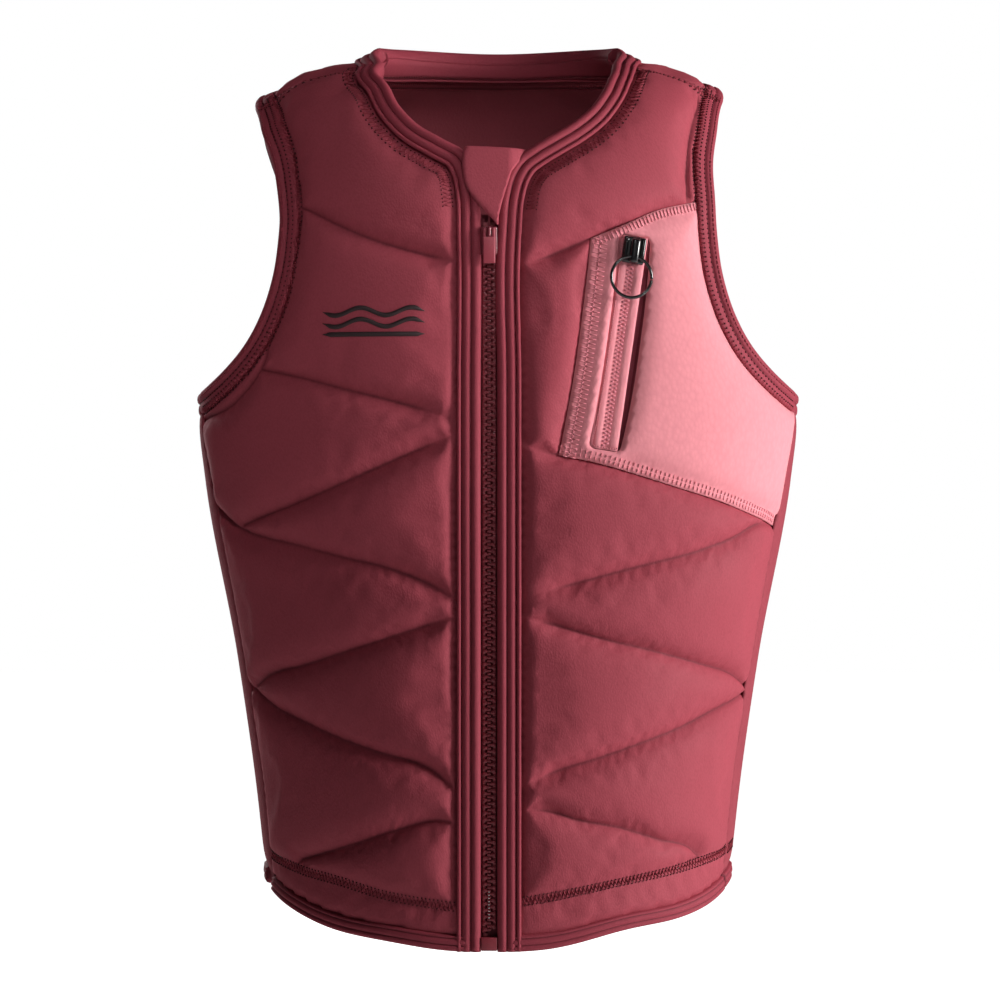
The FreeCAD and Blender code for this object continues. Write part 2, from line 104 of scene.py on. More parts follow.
class StitchPattern(Enum):
    """How a row of thread runs."""

    ZIGZAG = "zigzag"
    DASHES = "dashes"
    DOTS = "dots"
    LADDER = "ladder"


# ---------------------------------------------------------------------------
# Lines and distances
# ---------------------------------------------------------------------------

def monotone_slopes(places: Array, values: Array) -> Array:
    """Slopes of a smooth curve through values that never overshoots them.

    Args:
        places: Where the values are, rising.
        values: One value for each place.

    Returns:
        The curve's slope at each place.
    """
    gaps = np.diff(places)
    rates = np.diff(values) / gaps
    slopes = np.zeros_like(values)
    slopes[0], slopes[-1] = rates[0], rates[-1]
    for index in range(1, len(values) - 1):
        before, after = rates[index - 1], rates[index]
        if before * after > 0:
            near = 2 * gaps[index] + gaps[index - 1]
            far = gaps[index] + 2 * gaps[index - 1]
            slopes[index] = (near + far) / (near / before + far / after)
    return slopes


def hermite(part: Array, gap: Array, ends: Sequence[Array], slopes: Sequence[Array]) -> Array:
    """A cubic between two ends with given slopes.

    Args:
        part: Share of the way from the first end to the second.
        gap: Length between the ends.
        ends: Values at the two ends.
        slopes: Slopes at the two ends.

    Returns:
        The value at each share.
    """
    square, cube = part * part, part ** 3
    return ((2 * cube - 3 * square + 1) * ends[0] + (cube - 2 * square + part) * gap * slopes[0]
            + (3 * square - 2 * cube) * ends[1] + (cube - square) * gap * slopes[1])


def spaced(points: Array, step: float) -> Array:
    """Points at an even step along a line, its ends included.

    Args:
        points: The line's corners.
        step: Wanted distance between points.

    Returns:
        The even points.
    """
    lengths = np.linalg.norm(np.diff(points, axis=0), axis=1)
    run = np.concatenate([[0.0], np.cumsum(lengths)])
    count = max(2, int(round(run[-1] / step)) + 1)
    wanted = np.linspace(0, run[-1], count)
    return np.column_stack([np.interp(wanted, run, column) for column in points.T])


def smooth_line(corners: Array, step: float) -> Array:
    """A smooth line through given points, sampled evenly.

    Args:
        corners: Points that the line passes through.
        step: Wanted distance between samples.

    Returns:
        The samples, ends included.
    """
    corners = np.asarray(corners, float)
    if len(corners) < 3:
        return spaced(corners, step)
    chord = np.concatenate([[0.0], np.cumsum(np.linalg.norm(np.diff(corners, axis=0), axis=1))])
    slopes = np.gradient(corners, chord, axis=0)
    fine = np.linspace(0, chord[-1], max(8, int(chord[-1] / 0.6)))
    low = np.clip(np.searchsorted(chord, fine, side="right") - 1, 0, len(corners) - 2)
    gap = chord[low + 1] - chord[low]
    part = ((fine - chord[low]) / gap)[:, None]
    curve = hermite(part, gap[:, None], (corners[low], corners[low + 1]),
                    (slopes[low], slopes[low + 1]))
    return spaced(curve, step)


def distance_to(samples: Array, points: Array) -> Array:
    """Distance from each point to the nearest sample.

    Args:
        samples: Dense samples of a line, in two or three dimensions.
        points: The points to measure from, in the same dimensions.

    Returns:
        One distance for each point.
    """
    if len(samples) == 0:
        return np.full(len(points), 1e3)
    tree = KDTree(len(samples))
    for index, sample in enumerate(samples):
        tree.insert((*sample, 0.0)[:3], index)
    tree.balance()
    return np.array([tree.find((*point, 0.0)[:3])[2] for point in points])


def eased_distance(samples: Array, ease: Array, points: Array) -> Array:
    """Distance to the nearest sample of the channels, eased where a channel runs out.

    Args:
        samples: Dense samples of the channels.
        ease: Added distance at each sample, in millimetres.
        points: The points to measure from.

    Returns:
        One distance for each point.
    """
    if len(samples) == 0:
        return np.full(len(points), 1e3)
    tree = KDTree(len(samples))
    for index, sample in enumerate(samples):
        tree.insert(sample, index)
    tree.balance()
    found = [tree.find(point) for point in points]
    return np.array([distance + ease[index] for _, index, distance in found])


def inside(outline: Array, points: Array) -> Array:
    """Which points lie inside a closed flat outline.

    Args:
        outline: Corners of the outline, in order.
        points: The points to test.

    Returns:
        True for each point inside.
    """
    found = np.zeros(len(points), bool)
    for first, second in zip(outline, np.roll(outline, -1, axis=0)):
        crosses = (first[1] > points[:, 1]) != (second[1] > points[:, 1])
        rise = second[1] - first[1]
        if rise == 0:
            continue
        at = first[0] + (points[:, 1] - first[1]) * (second[0] - first[0]) / rise
        found ^= crosses & (points[:, 0] < at)
    return found


# ---------------------------------------------------------------------------
# The torso surface and its flat pattern
# ---------------------------------------------------------------------------

class TorsoForm:
    """The vest's outer surface and the flat pattern plane that unrolls it.

    In the flat plane the first number is the way round from the front middle towards the
    wearer's left, and the second is the way up; both are about true lengths.
    """

    def __init__(self) -> None:
        """Set up the level curves and the two unrolling tables."""
        table = np.array(STATIONS, float)
        self.heights = table[:, 0]
        self.columns = [(table[:, k], monotone_slopes(self.heights, table[:, k])) for k in (1, 2, 3)]
        self.turns = np.linspace(-math.pi / 2, 1.5 * math.pi, 24001)
        ring = self._ring(self.turns, 178.0, 115.0, 100.0)
        steps = np.linalg.norm(np.diff(ring, axis=0), axis=1)
        self.girth = np.concatenate([[0.0], np.cumsum(steps)])
        self.rise = np.linspace(-60, 640, 3501)
        climb = np.hypot(np.diff(self.rise), math.sqrt(0.6) * np.diff(self.sizes(self.rise)[1]))
        self.run = np.concatenate([[0.0], np.cumsum(climb)])
        self.run -= np.interp(0.0, self.rise, self.run)
        self.side_place = float(np.interp(0.0, self.turns, self.girth))
        self.back_middle = float(np.interp(math.pi / 2, self.turns, self.girth))

    @staticmethod
    def _ring(turn: Array, half_width: Array, front: Array, back: Array) -> Array:
        """Across and depth of a level curve at each turn."""
        cosine, sine = np.cos(turn), np.sin(turn)
        across = half_width * np.sign(cosine) * np.abs(cosine) ** (2 / ROUNDNESS)
        return np.column_stack([across, np.where(sine < 0, front, back) * sine])

    def sizes(self, height: Array) -> list[Array]:
        """Half width, front depth and back depth at each height."""
        level = np.clip(height, self.heights[0], self.heights[-1])
        low = np.clip(np.searchsorted(self.heights, level, side="right") - 1, 0,
                      len(self.heights) - 2)
        gap = self.heights[low + 1] - self.heights[low]
        part = (level - self.heights[low]) / gap
        return [hermite(part, gap, (v[low], v[low + 1]), (m[low], m[low + 1]))
                for v, m in self.columns]

    def surface(self, flat: Array) -> Array:
        """Points of the torso surface for points of the flat plane."""
        turn = np.interp(np.mod(flat[:, 0], self.girth[-1]), self.girth, self.turns)
        height = np.interp(flat[:, 1], self.run, self.rise)
        return np.column_stack([self._ring(turn, *self.sizes(height)), height])

    def tangents(self, flat: Array) -> tuple[Array, Array]:
        """How the surface moves for one step round and one step up."""
        step = 0.3
        round_step, up_step = np.array([step, 0.0]), np.array([0.0, step])
        right = (self.surface(flat + round_step) - self.surface(flat - round_step)) / (2 * step)
        up = (self.surface(flat + up_step) - self.surface(flat - up_step)) / (2 * step)
        return right, up

    def normals(self, flat: Array) -> Array:
        """Outward unit normals at points of the flat plane."""
        normal = np.cross(*self.tangents(flat))
        return normal / np.linalg.norm(normal, axis=1)[:, None]

    def lift(self, flat: Array, rise: Array | float) -> Array:
        """Points that stand proud of the surface by a given rise."""
        height = np.broadcast_to(np.asarray(rise, float), (len(flat),))
        return self.surface(flat) + self.normals(flat) * height[:, None]

    def offset(self, path: Array, distance: Array | float, steps: int = 3) -> Array:
        """Move a flat path sideways by a true distance, to the right of its travel.

        Args:
            path: Points of the flat plane, in order of travel.
            distance: True distance on the surface; negative goes left.
            steps: Number of part moves.

        Returns:
            The moved path, point by point.
        """
        moved = path.copy()
        along = np.gradient(self.surface(path), axis=0)
        along /= np.linalg.norm(along, axis=1)[:, None]
        share = np.broadcast_to(np.asarray(distance, float), (len(path),)) / steps
        for _ in range(steps):
            right, up = self.tangents(moved)
            normal = np.cross(right, up)
            normal /= np.linalg.norm(normal, axis=1)[:, None]
            aside = np.cross(along, normal) * share[:, None]
            rr, uu, ru = (right ** 2).sum(1), (up ** 2).sum(1), (right * up).sum(1)
            ar, au = (aside * right).sum(1), (aside * up).sum(1)
            room = rr * uu - ru * ru
            moved = moved + np.column_stack([(ar * uu - au * ru) / room, (au * rr - ar * ru) / room])
        return moved

    def _flat(self, turn: Array, height: Array) -> Array:
        """Flat points for turns and heights."""
        return np.column_stack([np.interp(turn, self.turns, self.girth),
                                np.interp(height, self.rise, self.run)])

    def from_front(self, points: Line) -> Array:
        """Flat points for across and height seen from the front."""
        across, height = np.array(points, float).T
        cosine = np.clip(np.abs(across) / self.sizes(height)[0], 0, 1) ** (ROUNDNESS / 2)
        flat = self._flat(-np.arccos(cosine), height)
        flat[:, 0] *= np.where(across < 0, -1, 1)
        return flat

    def from_behind(self, points: Line) -> Array:
        """Flat points on the back of the wearer's left, for across and height."""
        across, height = np.array(points, float).T
        cosine = np.clip(across / self.sizes(height)[0], 0, 1) ** (ROUNDNESS / 2)
        return self._flat(np.arccos(cosine), height)

    def from_side(self, points: Line) -> Array:
        """Flat points on the wearer's left, for depth and height seen from the side."""
        depth, height = np.array(points, float).T
        _, front, back = self.sizes(height)
        reach = np.where(depth < 0, front, back)
        return self._flat(np.arcsin(np.clip(depth / reach, -1, 1)), height)

    def from_turns(self, points: Line) -> Array:
        """Flat points for a turn about the body axis and a height."""
        turn, height = np.array(points, float).T
        return self._flat(turn, height)

    def mirror_behind(self, flat: Array) -> Array:
        """The same points on the other half of the back."""
        return np.column_stack([2 * self.back_middle - flat[:, 0], flat[:, 1]])


FORM = TorsoForm()


# ---------------------------------------------------------------------------
# Meshes
# ---------------------------------------------------------------------------

def make_mesh(name: str, points: Array, faces: Sequence[Sequence[int]], side: Side = Side.LEFT,
              uv: Optional[Array] = None, marks: Optional[Array] = None) -> bpy.types.Object:
    """Make a smooth mesh object from points in millimetres.

    Args:
        name: Name of the object.
        points: Corner points.
        faces: Corners of each face, turning left as seen from outside.
        side: Right mirrors the points and turns the faces round.
        uv: Flat place of each corner in millimetres, for the weave.
        marks: Shade of each corner near a seam, from 0 to 1.

    Returns:
        The new object.
    """
    place = np.asarray(points, float) * METRES_PER_MM
    loops = [list(face) for face in faces]
    if side is Side.RIGHT:
        place = place * np.array([-1.0, 1.0, 1.0])
        loops = [face[::-1] for face in loops]
    mesh = bpy.data.meshes.new(name)
    mesh.from_pydata(place.tolist(), [], loops)
    mesh.update()
    if uv is not None:
        layer = mesh.uv_layers.new(name="UVMap")
        corners = np.zeros(len(mesh.loops), np.int32)
        mesh.loops.foreach_get("vertex_index", corners)
        layer.data.foreach_set("uv", (np.asarray(uv)[corners] * METRES_PER_MM).ravel())
    if marks is not None:
        attribute = mesh.attributes.new("seam_shade", "FLOAT", "POINT")
        attribute.data.foreach_set("value", np.asarray(marks, np.float32))
    mesh.polygons.foreach_set("use_smooth", np.ones(len(mesh.polygons), bool))
    made = bpy.data.objects.new(name, mesh)
    bpy.context.scene.collection.objects.link(made)
    return made


def tube_faces(rows: int, columns: int) -> list[list[int]]:
    """Faces of a swept profile with capped ends.

    Args:
        rows: Number of places along the sweep.
        columns: Number of profile points.

    Returns:
        Corners of each face.
    """
    faces = []
    for row in range(rows - 1):
        for column in range(columns):
            beside = (column + 1) % columns
            faces.append([row * columns + column, row * columns + beside,
                          (row + 1) * columns + beside, (row + 1) * columns + column])
    faces.append(list(range(columns))[::-1])
    faces.append([(rows - 1) * columns + column for column in range(columns)])
    return faces


def turn_outward(piece: bpy.types.Object) -> None:
    """Point the faces of a closed piece outwards."""
    bpy.ops.object.select_all(action="DESELECT")
    bpy.context.view_layer.objects.active = piece
    piece.select_set(True)
    bpy.ops.object.mode_set(mode="EDIT")
    bpy.ops.mesh.select_all(action="SELECT")
    bpy.ops.mesh.normals_make_consistent(inside=False)
    bpy.ops.object.mode_set(mode="OBJECT")
    piece.select_set(False)


# ---------------------------------------------------------------------------
# Finishes
# ---------------------------------------------------------------------------

def add_node(tree: bpy.types.NodeTree, kind: str, feeds: dict, **traits: str | bool
             ) -> bpy.types.Node:
    """Add a shader node, then set or link its inputs.

    Args:
        tree: The node tree to work in.
        kind: Type of the node, without its prefix.
        feeds: Value or source socket of each input, by name or number.
        traits: Settings of the node itself.

    Returns:
        The new node.
    """
    node = tree.nodes.new("ShaderNode" + kind)
    for name, value in traits.items():
        setattr(node, name, value)
    for key, value in feeds.items():
        if isinstance(value, bpy.types.NodeSocket):
            tree.links.new(value, node.inputs[key])
        else:
            node.inputs[key].default_value = value
    return node


def knit_group() -> bpy.types.NodeTree:
    """The node group of a fine knit: mottled colour, painted shade, roughness and loop height.

    Returns:
        The group, with its sockets.
    """
    group = bpy.data.node_groups.new("fine_knit", "ShaderNodeTree")
    plan = group.interface
    plan.new_socket("Place", in_out="INPUT", socket_type="NodeSocketVector")
    for name, value in (("Loops per Metre", 900.0), ("Mottle", 0.25), ("Seam Shade", 0.0)):
        plan.new_socket(name, in_out="INPUT", socket_type="NodeSocketFloat").default_value = value
    for name in ("Light", "Dark"):
        plan.new_socket(name, in_out="INPUT", socket_type="NodeSocketColor")
    plan.new_socket("Colour", in_out="OUTPUT", socket_type="NodeSocketColor")
    plan.new_socket("Roughness", in_out="OUTPUT", socket_type="NodeSocketFloat")
    plan.new_socket("Height", in_out="OUTPUT", socket_type="NodeSocketFloat")
    links = group.links
    source, sink = group.nodes.new("NodeGroupInput"), group.nodes.new("NodeGroupOutput")
    given = source.outputs

    stretch = add_node(group, "Mapping", {"Scale": (1.0, 0.62, 1.0), "Vector": given["Place"]})
    loops = add_node(group, "TexVoronoi", {"Vector": stretch.outputs["Vector"],
                                           "Scale": given["Loops per Metre"]})
    cloud = add_node(group, "TexNoise", {"Scale": 22.0, "Detail": 5.0, "Vector": given["Place"]})

    spread = add_node(group, "Math", {0: cloud.outputs["Fac"], 1: given["Mottle"]},
                      operation="MULTIPLY")
    # Painted shade: the colour darkens towards the hollows between the loops.
    hollow_shade = add_node(group, "Math", {0: loops.outputs["Distance"], 1: 0.22}, operation="MULTIPLY")
    both = add_node(group, "Math", {0: spread.outputs[0], 1: hollow_shade.outputs[0]})
    # Painted shade along the seams, from the seam_shade attribute.
    seam = add_node(group, "Math", {0: both.outputs[0], 1: given["Seam Shade"]}, use_clamp=True)
    blend = add_node(group, "Mix", {"Factor": seam.outputs[0], 6: given["Light"], 7: given["Dark"]},
                     data_type="RGBA")
    links.new(blend.outputs[2], sink.inputs["Colour"])

    rough = add_node(group, "MapRange", {"To Min": 0.62, "To Max": 0.86,
                                         "Value": cloud.outputs["Fac"]})
    links.new(rough.outputs["Result"], sink.inputs["Roughness"])

    ripple = add_node(group, "TexNoise", {"Scale": 260.0, "Detail": 3.0, "Vector": given["Place"]})
    total = add_node(group, "Math", {0: ripple.outputs["Fac"], 1: loops.outputs["Distance"]},
                     operation="SUBTRACT")
    links.new(total.outputs[0], sink.inputs["Height"])
    return group


@dataclass(frozen=True)
class FabricFinish:
    """A knit or woven cloth.

    Attributes:
        name: Name of the material.
        slot: The record's material slot; not used.
        light: Colour of the cloth.
        dark: Colour of its mottle, and of the painted shade in its loop hollows and seams.
        loops: Loops per metre.
        mottle: Share of uneven colour.
        sheen: Strength of the soft sheen at grazing angles.
        relief: Depth of the loops in metres.
        by_pattern: Whether the weave follows the flat pattern.
    """

    name: str
    slot: str
    light: Colour
    dark: Colour
    loops: float = 900.0
    mottle: float = 0.25
    sheen: float = 0.25
    relief: float = 0.00018
    by_pattern: bool = True

    def material(self) -> bpy.types.Material:
        """Make the material, or find it if it is made."""
        made = bpy.data.materials.get(self.name)
        if made:
            return made
        made = bpy.data.materials.new(self.name)
        made.use_nodes = True
        nodes, links = made.node_tree.nodes, made.node_tree.links
        shader = nodes["Principled BSDF"]
        knit = nodes.new("ShaderNodeGroup")
        knit.node_tree = bpy.data.node_groups.get("fine_knit") or knit_group()
        knit.inputs["Loops per Metre"].default_value = self.loops
        knit.inputs["Mottle"].default_value = self.mottle
        knit.inputs["Light"].default_value = (*self.light, 1)
        knit.inputs["Dark"].default_value = (*self.dark, 1)
        place = nodes.new("ShaderNodeTexCoord")
        links.new(place.outputs["UV" if self.by_pattern else "Object"], knit.inputs["Place"])
        if self.by_pattern:
            shade = add_node(made.node_tree, "Attribute", {}, attribute_name="seam_shade")
            links.new(shade.outputs["Fac"], knit.inputs["Seam Shade"])
        bump = add_node(made.node_tree, "Bump", {"Strength": 0.55, "Distance": self.relief,
                                                 "Height": knit.outputs["Height"]})
        links.new(knit.outputs["Colour"], shader.inputs["Base Color"])
        links.new(knit.outputs["Roughness"], shader.inputs["Roughness"])
        links.new(bump.outputs["Normal"], shader.inputs["Normal"])
        shader.inputs["Sheen Weight"].default_value = self.sheen
        shader.inputs["Sheen Roughness"].default_value = 0.45
        shader.inputs["Sheen Tint"].default_value = (*(min(1.0, c * 2.2) for c in self.light), 1)
        shader.inputs["Specular IOR Level"].default_value = 0.28
        return made


@dataclass(frozen=True)
class HardFinish:
    """Moulded plastic or enamelled metal.

    Attributes:
        name: Name of the material.
        slot: The record's material slot; not used.
        colour: Colour of the surface.
        roughness: Middle roughness.
        coat: Weight of a clear coat.
        grain: Depth of the surface grain in metres.
    """

    name: str
    slot: str
    colour: Colour
    roughness: float = 0.4
    coat: float = 0.0
    grain: float = 0.00004

    def material(self) -> bpy.types.Material:
        """Make the material, or find it if it is made."""
        made = bpy.data.materials.get(self.name)
        if made:
            return made
        made = bpy.data.materials.new(self.name)
        made.use_nodes = True
        nodes, links = made.node_tree.nodes, made.node_tree.links
        shader = nodes["Principled BSDF"]
        place = nodes.new("ShaderNodeTexCoord")
        grain = add_node(made.node_tree, "TexNoise", {"Scale": 900.0, "Detail": 4.0,
                                                      "Vector": place.outputs["Object"]})
        low = (*(c * 0.82 for c in self.colour), 1)
        high = (*(min(1.0, c * 1.15) for c in self.colour), 1)
        tone = add_node(made.node_tree, "Mix", {"Factor": grain.outputs["Fac"], 6: low, 7: high},
                        data_type="RGBA")
        links.new(tone.outputs[2], shader.inputs["Base Color"])
        rough = add_node(made.node_tree, "MapRange", {
            "To Min": self.roughness - 0.08, "To Max": self.roughness + 0.1,
            "Value": grain.outputs["Fac"]})
        links.new(rough.outputs["Result"], shader.inputs["Roughness"])
        bump = add_node(made.node_tree, "Bump", {"Strength": 0.4, "Distance": self.grain,
                                                 "Height": grain.outputs["Fac"]})
        links.new(bump.outputs["Normal"], shader.inputs["Normal"])
        shader.inputs["Coat Weight"].default_value = self.coat
        shader.inputs["Coat Roughness"].default_value = 0.12
        return made


RED_NEOPRENE = FabricFinish("red_neoprene", "neoprene_red", (0.40, 0.062, 0.088), (0.16, 0.018, 0.03),
                            loops=1000, mottle=0.16)
PINK_NEOPRENE = FabricFinish("pink_neoprene", "neoprene_pink", (0.86, 0.305, 0.345),
                             (0.55, 0.15, 0.19), loops=420, mottle=0.16)
DARK_LINING = FabricFinish("dark_lining", "lining", (0.19, 0.026, 0.038), (0.1, 0.012, 0.02),
                           loops=700, sheen=0.12)
SIDE_STRETCH = FabricFinish("side_stretch", "stretch_side", (0.34, 0.05, 0.072), (0.13, 0.016, 0.026))
RED_BINDING = FabricFinish("red_binding", "binding", (0.34, 0.046, 0.07), (0.12, 0.014, 0.024),
                           loops=1300, mottle=0.12, sheen=0.18)
RED_THREAD = FabricFinish("red_thread", "binding", (0.38, 0.052, 0.075), (0.12, 0.012, 0.022),
                          loops=2500, by_pattern=False)
PINK_THREAD = FabricFinish("pink_thread", "neoprene_pink", (0.80, 0.27, 0.32), (0.5, 0.12, 0.16),
                           loops=2500, by_pattern=False)
# Near-black dots beside the cover-stitch rows: painted shade of the needle holes.
NEEDLE_HOLE_SHADE = FabricFinish("needle_holes", "binding", (0.085, 0.01, 0.016), (0.03, 0.003, 0.006),
                            0.8, 0.2)
RED_TAPE = FabricFinish("red_zip_tape", "zip_tape", (0.17, 0.024, 0.038), (0.07, 0.01, 0.016),
                        loops=1600, by_pattern=False)
# A darker pink: painted shade on the welt along the window's left side.
PINK_WELT_SHADE = FabricFinish("pink_zip_tape", "pocket_tape", (0.70, 0.22, 0.26), (0.36, 0.09, 0.12),
                         loops=1600, by_pattern=False)
PINK_SHADOW = FabricFinish("pink_shadow", "pocket_tape", (0.5, 0.1, 0.14), (0.3, 0.05, 0.08),
                           0.7, 0.3)
RED_TEETH = HardFinish("red_teeth", "zip_teeth", (0.26, 0.03, 0.045), 0.42)
PINK_TEETH = HardFinish("pink_teeth", "pocket_teeth", (0.66, 0.2, 0.25), 0.42)
MARK_PRINT = HardFinish("dark_print", "neoprene_red", (0.03, 0.012, 0.014), 0.6)
RED_ENAMEL = HardFinish("red_enamel", "slider_red", (0.2, 0.022, 0.036), 0.34, coat=0.3)
RED_PULL = HardFinish("red_pull", "pull_red", (0.36, 0.045, 0.07), 0.42)
BLACK_ENAMEL = HardFinish("black_enamel", "black_metal", (0.006, 0.006, 0.007), 0.2, coat=0.8)


# A slightly lighter copy of the red neoprene: painted light on the flap.
LIT_FLAP_CLOTH = FabricFinish("flap_cloth", "neoprene_red", (0.42, 0.066, 0.094), (0.18, 0.02, 0.034),
                          loops=1000, mottle=0.12)


def dress(piece: bpy.types.Object, *finishes: FabricFinish | HardFinish) -> None:
    """Give a piece its materials.

    Args:
        piece: The object to dress.
        *finishes: Finishes in material slot order.
    """
    piece.data.materials.clear()
    for finish in finishes:
        piece.data.materials.append(finish.material())


def attach(piece: bpy.types.Object, side: Optional[Side]) -> None:
    """Bake a soft piece of one front in place, or let it ride on the back.

    Args:
        piece: The finished piece.
        side: The front that it belongs to, or None for the back.
    """
    if side is None:
        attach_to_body(piece, "back")
    else:
        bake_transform(piece)


# ---------------------------------------------------------------------------
# Quilted panels
# ---------------------------------------------------------------------------

@dataclass
class Edge:
    """One edge of a panel, in order round it with the panel on its right.

    Attributes:
        path: Its flat line.
        cover: Width of the binding that lies over it; 0 for a plain seam.
    """

    path: Array
    cover: float = 0.0


@dataclass
class QuiltedPanel:
    """A foam-filled neoprene panel with sewn channels, closed by its lining.

    Attributes:
        name: Name of the piece.
        side: Right mirrors it.
        edges: Its edges, in order.
        seams: Flat lines of its channels.
        grid: Spacing of its points.
        pillow: Rise of the foam close to a seam.
        crown: Further rise in the middle of a wide field.
        sink: Depth of the channels.
        tuck: How far the panel's edge lies inside its binding.
        recess: Flat outline over which another panel lies, if any.
        window: Flat outline of a zip's window in that other panel, if any.
        swell: Largest move that the cloth simulation may add.
        wall: Depth of the lining below the surface.
        hem_seam: Flat line of the seam below which the cloth lies flat to the hem, the last edge.
        fading: Whether channels run out towards the front zip.
    """

    name: str
    side: Side
    edges: list[Edge]
    seams: list[Array]
    grid: float = 4.2
    pillow: float = 5.6
    crown: float = 1.6
    sink: float = 4.0
    tuck: float = 1.6
    recess: Optional[Array] = None
    window: Optional[Array] = None
    swell: float = 1.5
    wall: float = 14.2
    hem_seam: Optional[Array] = None
    fading: bool = True
    outline: Array = field(init=False)
    seam_places: Array = field(init=False)
    seam_ease: Array = field(init=False)

    def __post_init__(self) -> None:
        """Work out the outline and the seams' places."""
        parts = []
        bound = [spaced(edge.path, 1.0) for edge in self.edges if edge.cover > 0]
        for edge in self.edges:
            shift = self.tuck if edge.cover > 0 else 0.0
            path = FORM.offset(edge.path, shift) if shift else edge.path
            path = spaced(path, 3.0)
            room = np.min([distance_to(line, path) for line in bound], axis=0) if bound else 9.0
            keep = room > (self.tuck - 0.25) * 0.9
            parts.append(path[keep][:-1] if keep[-1] else path[keep])
        self.outline = np.concatenate(parts)
        self.seams = [spaced(line, 2.4) for line in self.seams]
        lines = [FORM.surface(spaced(line, 0.8)) for line in self.seams]
        self.seam_places = np.concatenate(lines) if lines else np.zeros((0, 3))
        self.seam_ease = np.zeros(len(self.seam_places))
        if self.fading and lines:
            self.seam_ease = np.concatenate([self._fade(line, places)
                                             for line, places in zip(self.seams, lines)])

    @staticmethod
    def _fade(line: Array, places: Array, reach: float = 26.0, most: float = 5.0,
              zip_side: float = 45.0, least_span: float = 40.0) -> Array:
        """Ease of a channel's samples, which grows towards its end near the zip.

        Args:
            line: Flat line of the channel.
            places: Its samples on the torso.
            reach: Length over which it runs out.
            most: Ease at its very end.
            zip_side: How near the middle a line has to start to count as near the zip.
            least_span: Least width of a line that runs across the front.

        Returns:
            One ease per sample.
        """
        run = np.concatenate([[0.0], np.cumsum(np.linalg.norm(np.diff(places, axis=0), axis=1))])
        if line[0, 0] > line[-1, 0]:
            run = run[-1] - run
        ends = line[0, 0], line[-1, 0]
        if min(ends) >= zip_side or abs(ends[0] - ends[1]) <= least_span:
            return np.zeros(len(places))
        return most * np.clip(1 - run / reach, 0, 1) ** 2

    def _clear_of_outline(self, points: Array, room: float) -> Array:
        """Keep the points inside the outline with some room to it."""
        kept = points[inside(self.outline, points)]
        return kept[distance_to(spaced(np.vstack([self.outline, self.outline[:1]]), 0.8), kept) > room]

    def _grid_points(self, spacing: float) -> Array:
        """A grid of points in rows, each shifted by half a step."""
        low, high = self.outline.min(0), self.outline.max(0)
        rows = np.arange(low[1], high[1], spacing * 0.866)
        points = [np.column_stack([np.arange(low[0] + spacing / 2 * (index % 2), high[0], spacing),
                                   np.full(len(np.arange(low[0] + spacing / 2 * (index % 2), high[0],
                                                         spacing)), row)])
                  for index, row in enumerate(rows)]
        return np.concatenate(points)

    def _triangulate(self, points: Array, edges: list[tuple[int, int]]
                     ) -> tuple[Array, list[list[int]], dict[int, int]]:
        """Join the outline and inner points by triangles.

        Args:
            points: The outline's points and then the inner ones.
            edges: Pairs of points that have to be joined.

        Returns:
            The flat points, the triangles, and each outline point's new number.
        """
        count = len(self.outline)
        result = delaunay_2d_cdt([Vector(p) for p in points], edges, [list(range(count))], 1, 1e-5)
        flat = np.array([tuple(v) for v in result[0]])
        faces = np.array([list(f) for f in result[2] if len(f) == 3])
        middle = flat[faces].mean(axis=1)
        faces = faces[inside(self.outline, middle)]
        first, second, third = (flat[faces[:, k]] for k in range(3))
        turn = np.cross(second - first, third - first)
        faces[turn < 0] = faces[turn < 0][:, ::-1]
        border = {}
        for new, olds in enumerate(result[3]):
            for old in olds:
                if old < count:
                    border[old] = new
        return flat, faces.tolist(), border

    def relief(self, flat: Array) -> tuple[Array, Array]:
        """Rise of the outer cloth and its shade near the seams.

        Args:
            flat: Points of the flat plane.

        Returns:
            The rise in millimetres and the shade from 0 to 1.
        """
        places = FORM.surface(flat)
        free = eased_distance(self.seam_places, self.seam_ease, places)
        for edge in self.edges:
            reach = distance_to(FORM.surface(spaced(edge.path, 1.0)), places)
            free = np.minimum(free, reach - edge.cover if edge.cover > 0 else reach + 1.5)
        free = np.clip(free, 0, None)
        rise = (-self.sink + self.pillow * (1 - np.exp(-free / 5.0))
                + self.crown * (1 - np.exp(-free / 26)))
        shade = 0.8 * np.exp(-(free / 1.15) ** 2)
        if self.hem_seam is not None:
            sewn = FORM.surface(spaced(self.hem_seam, 1.0))
            hem_reach = distance_to(FORM.surface(spaced(self.edges[-1].path, 1.0)), sewn)
            above = reach - (eased_distance(sewn, hem_reach, places) - distance_to(sewn, places))
            share = np.clip((above + 0.5) / 7.0, 0, 1)
            share = share * share * (3 - 2 * share)
            flat_rise = -1.9 + 0.9 * (1 - np.exp(-free / 2.5))
            rise = np.where(reach > self.edges[-1].cover, rise * share + flat_rise * (1 - share), rise)
            shade = shade * (0.1 + 0.9 * share)
        if self.recess is not None:
            rim = spaced(np.vstack([self.recess, self.recess[:1]]), 1.0)
            depth = np.clip(distance_to(rim, flat) / 2.5, 0, 1) * inside(self.recess, flat)
            rise = rise - 4.2 * depth
            shade = shade * (1 - depth) * np.clip(distance_to(rim, flat) / 5.0, 0.25, 1)
        if self.window is not None:
            rim = spaced(np.vstack([self.window, self.window[:1]]), 1.0)
            signed = np.where(inside(self.window, flat), 1, -1) * distance_to(rim, flat)
            depth = np.clip((signed + 6) / 4, 0, 1)
            rise = rise * (1 - depth) - 6.2 * depth
        return rise, shade

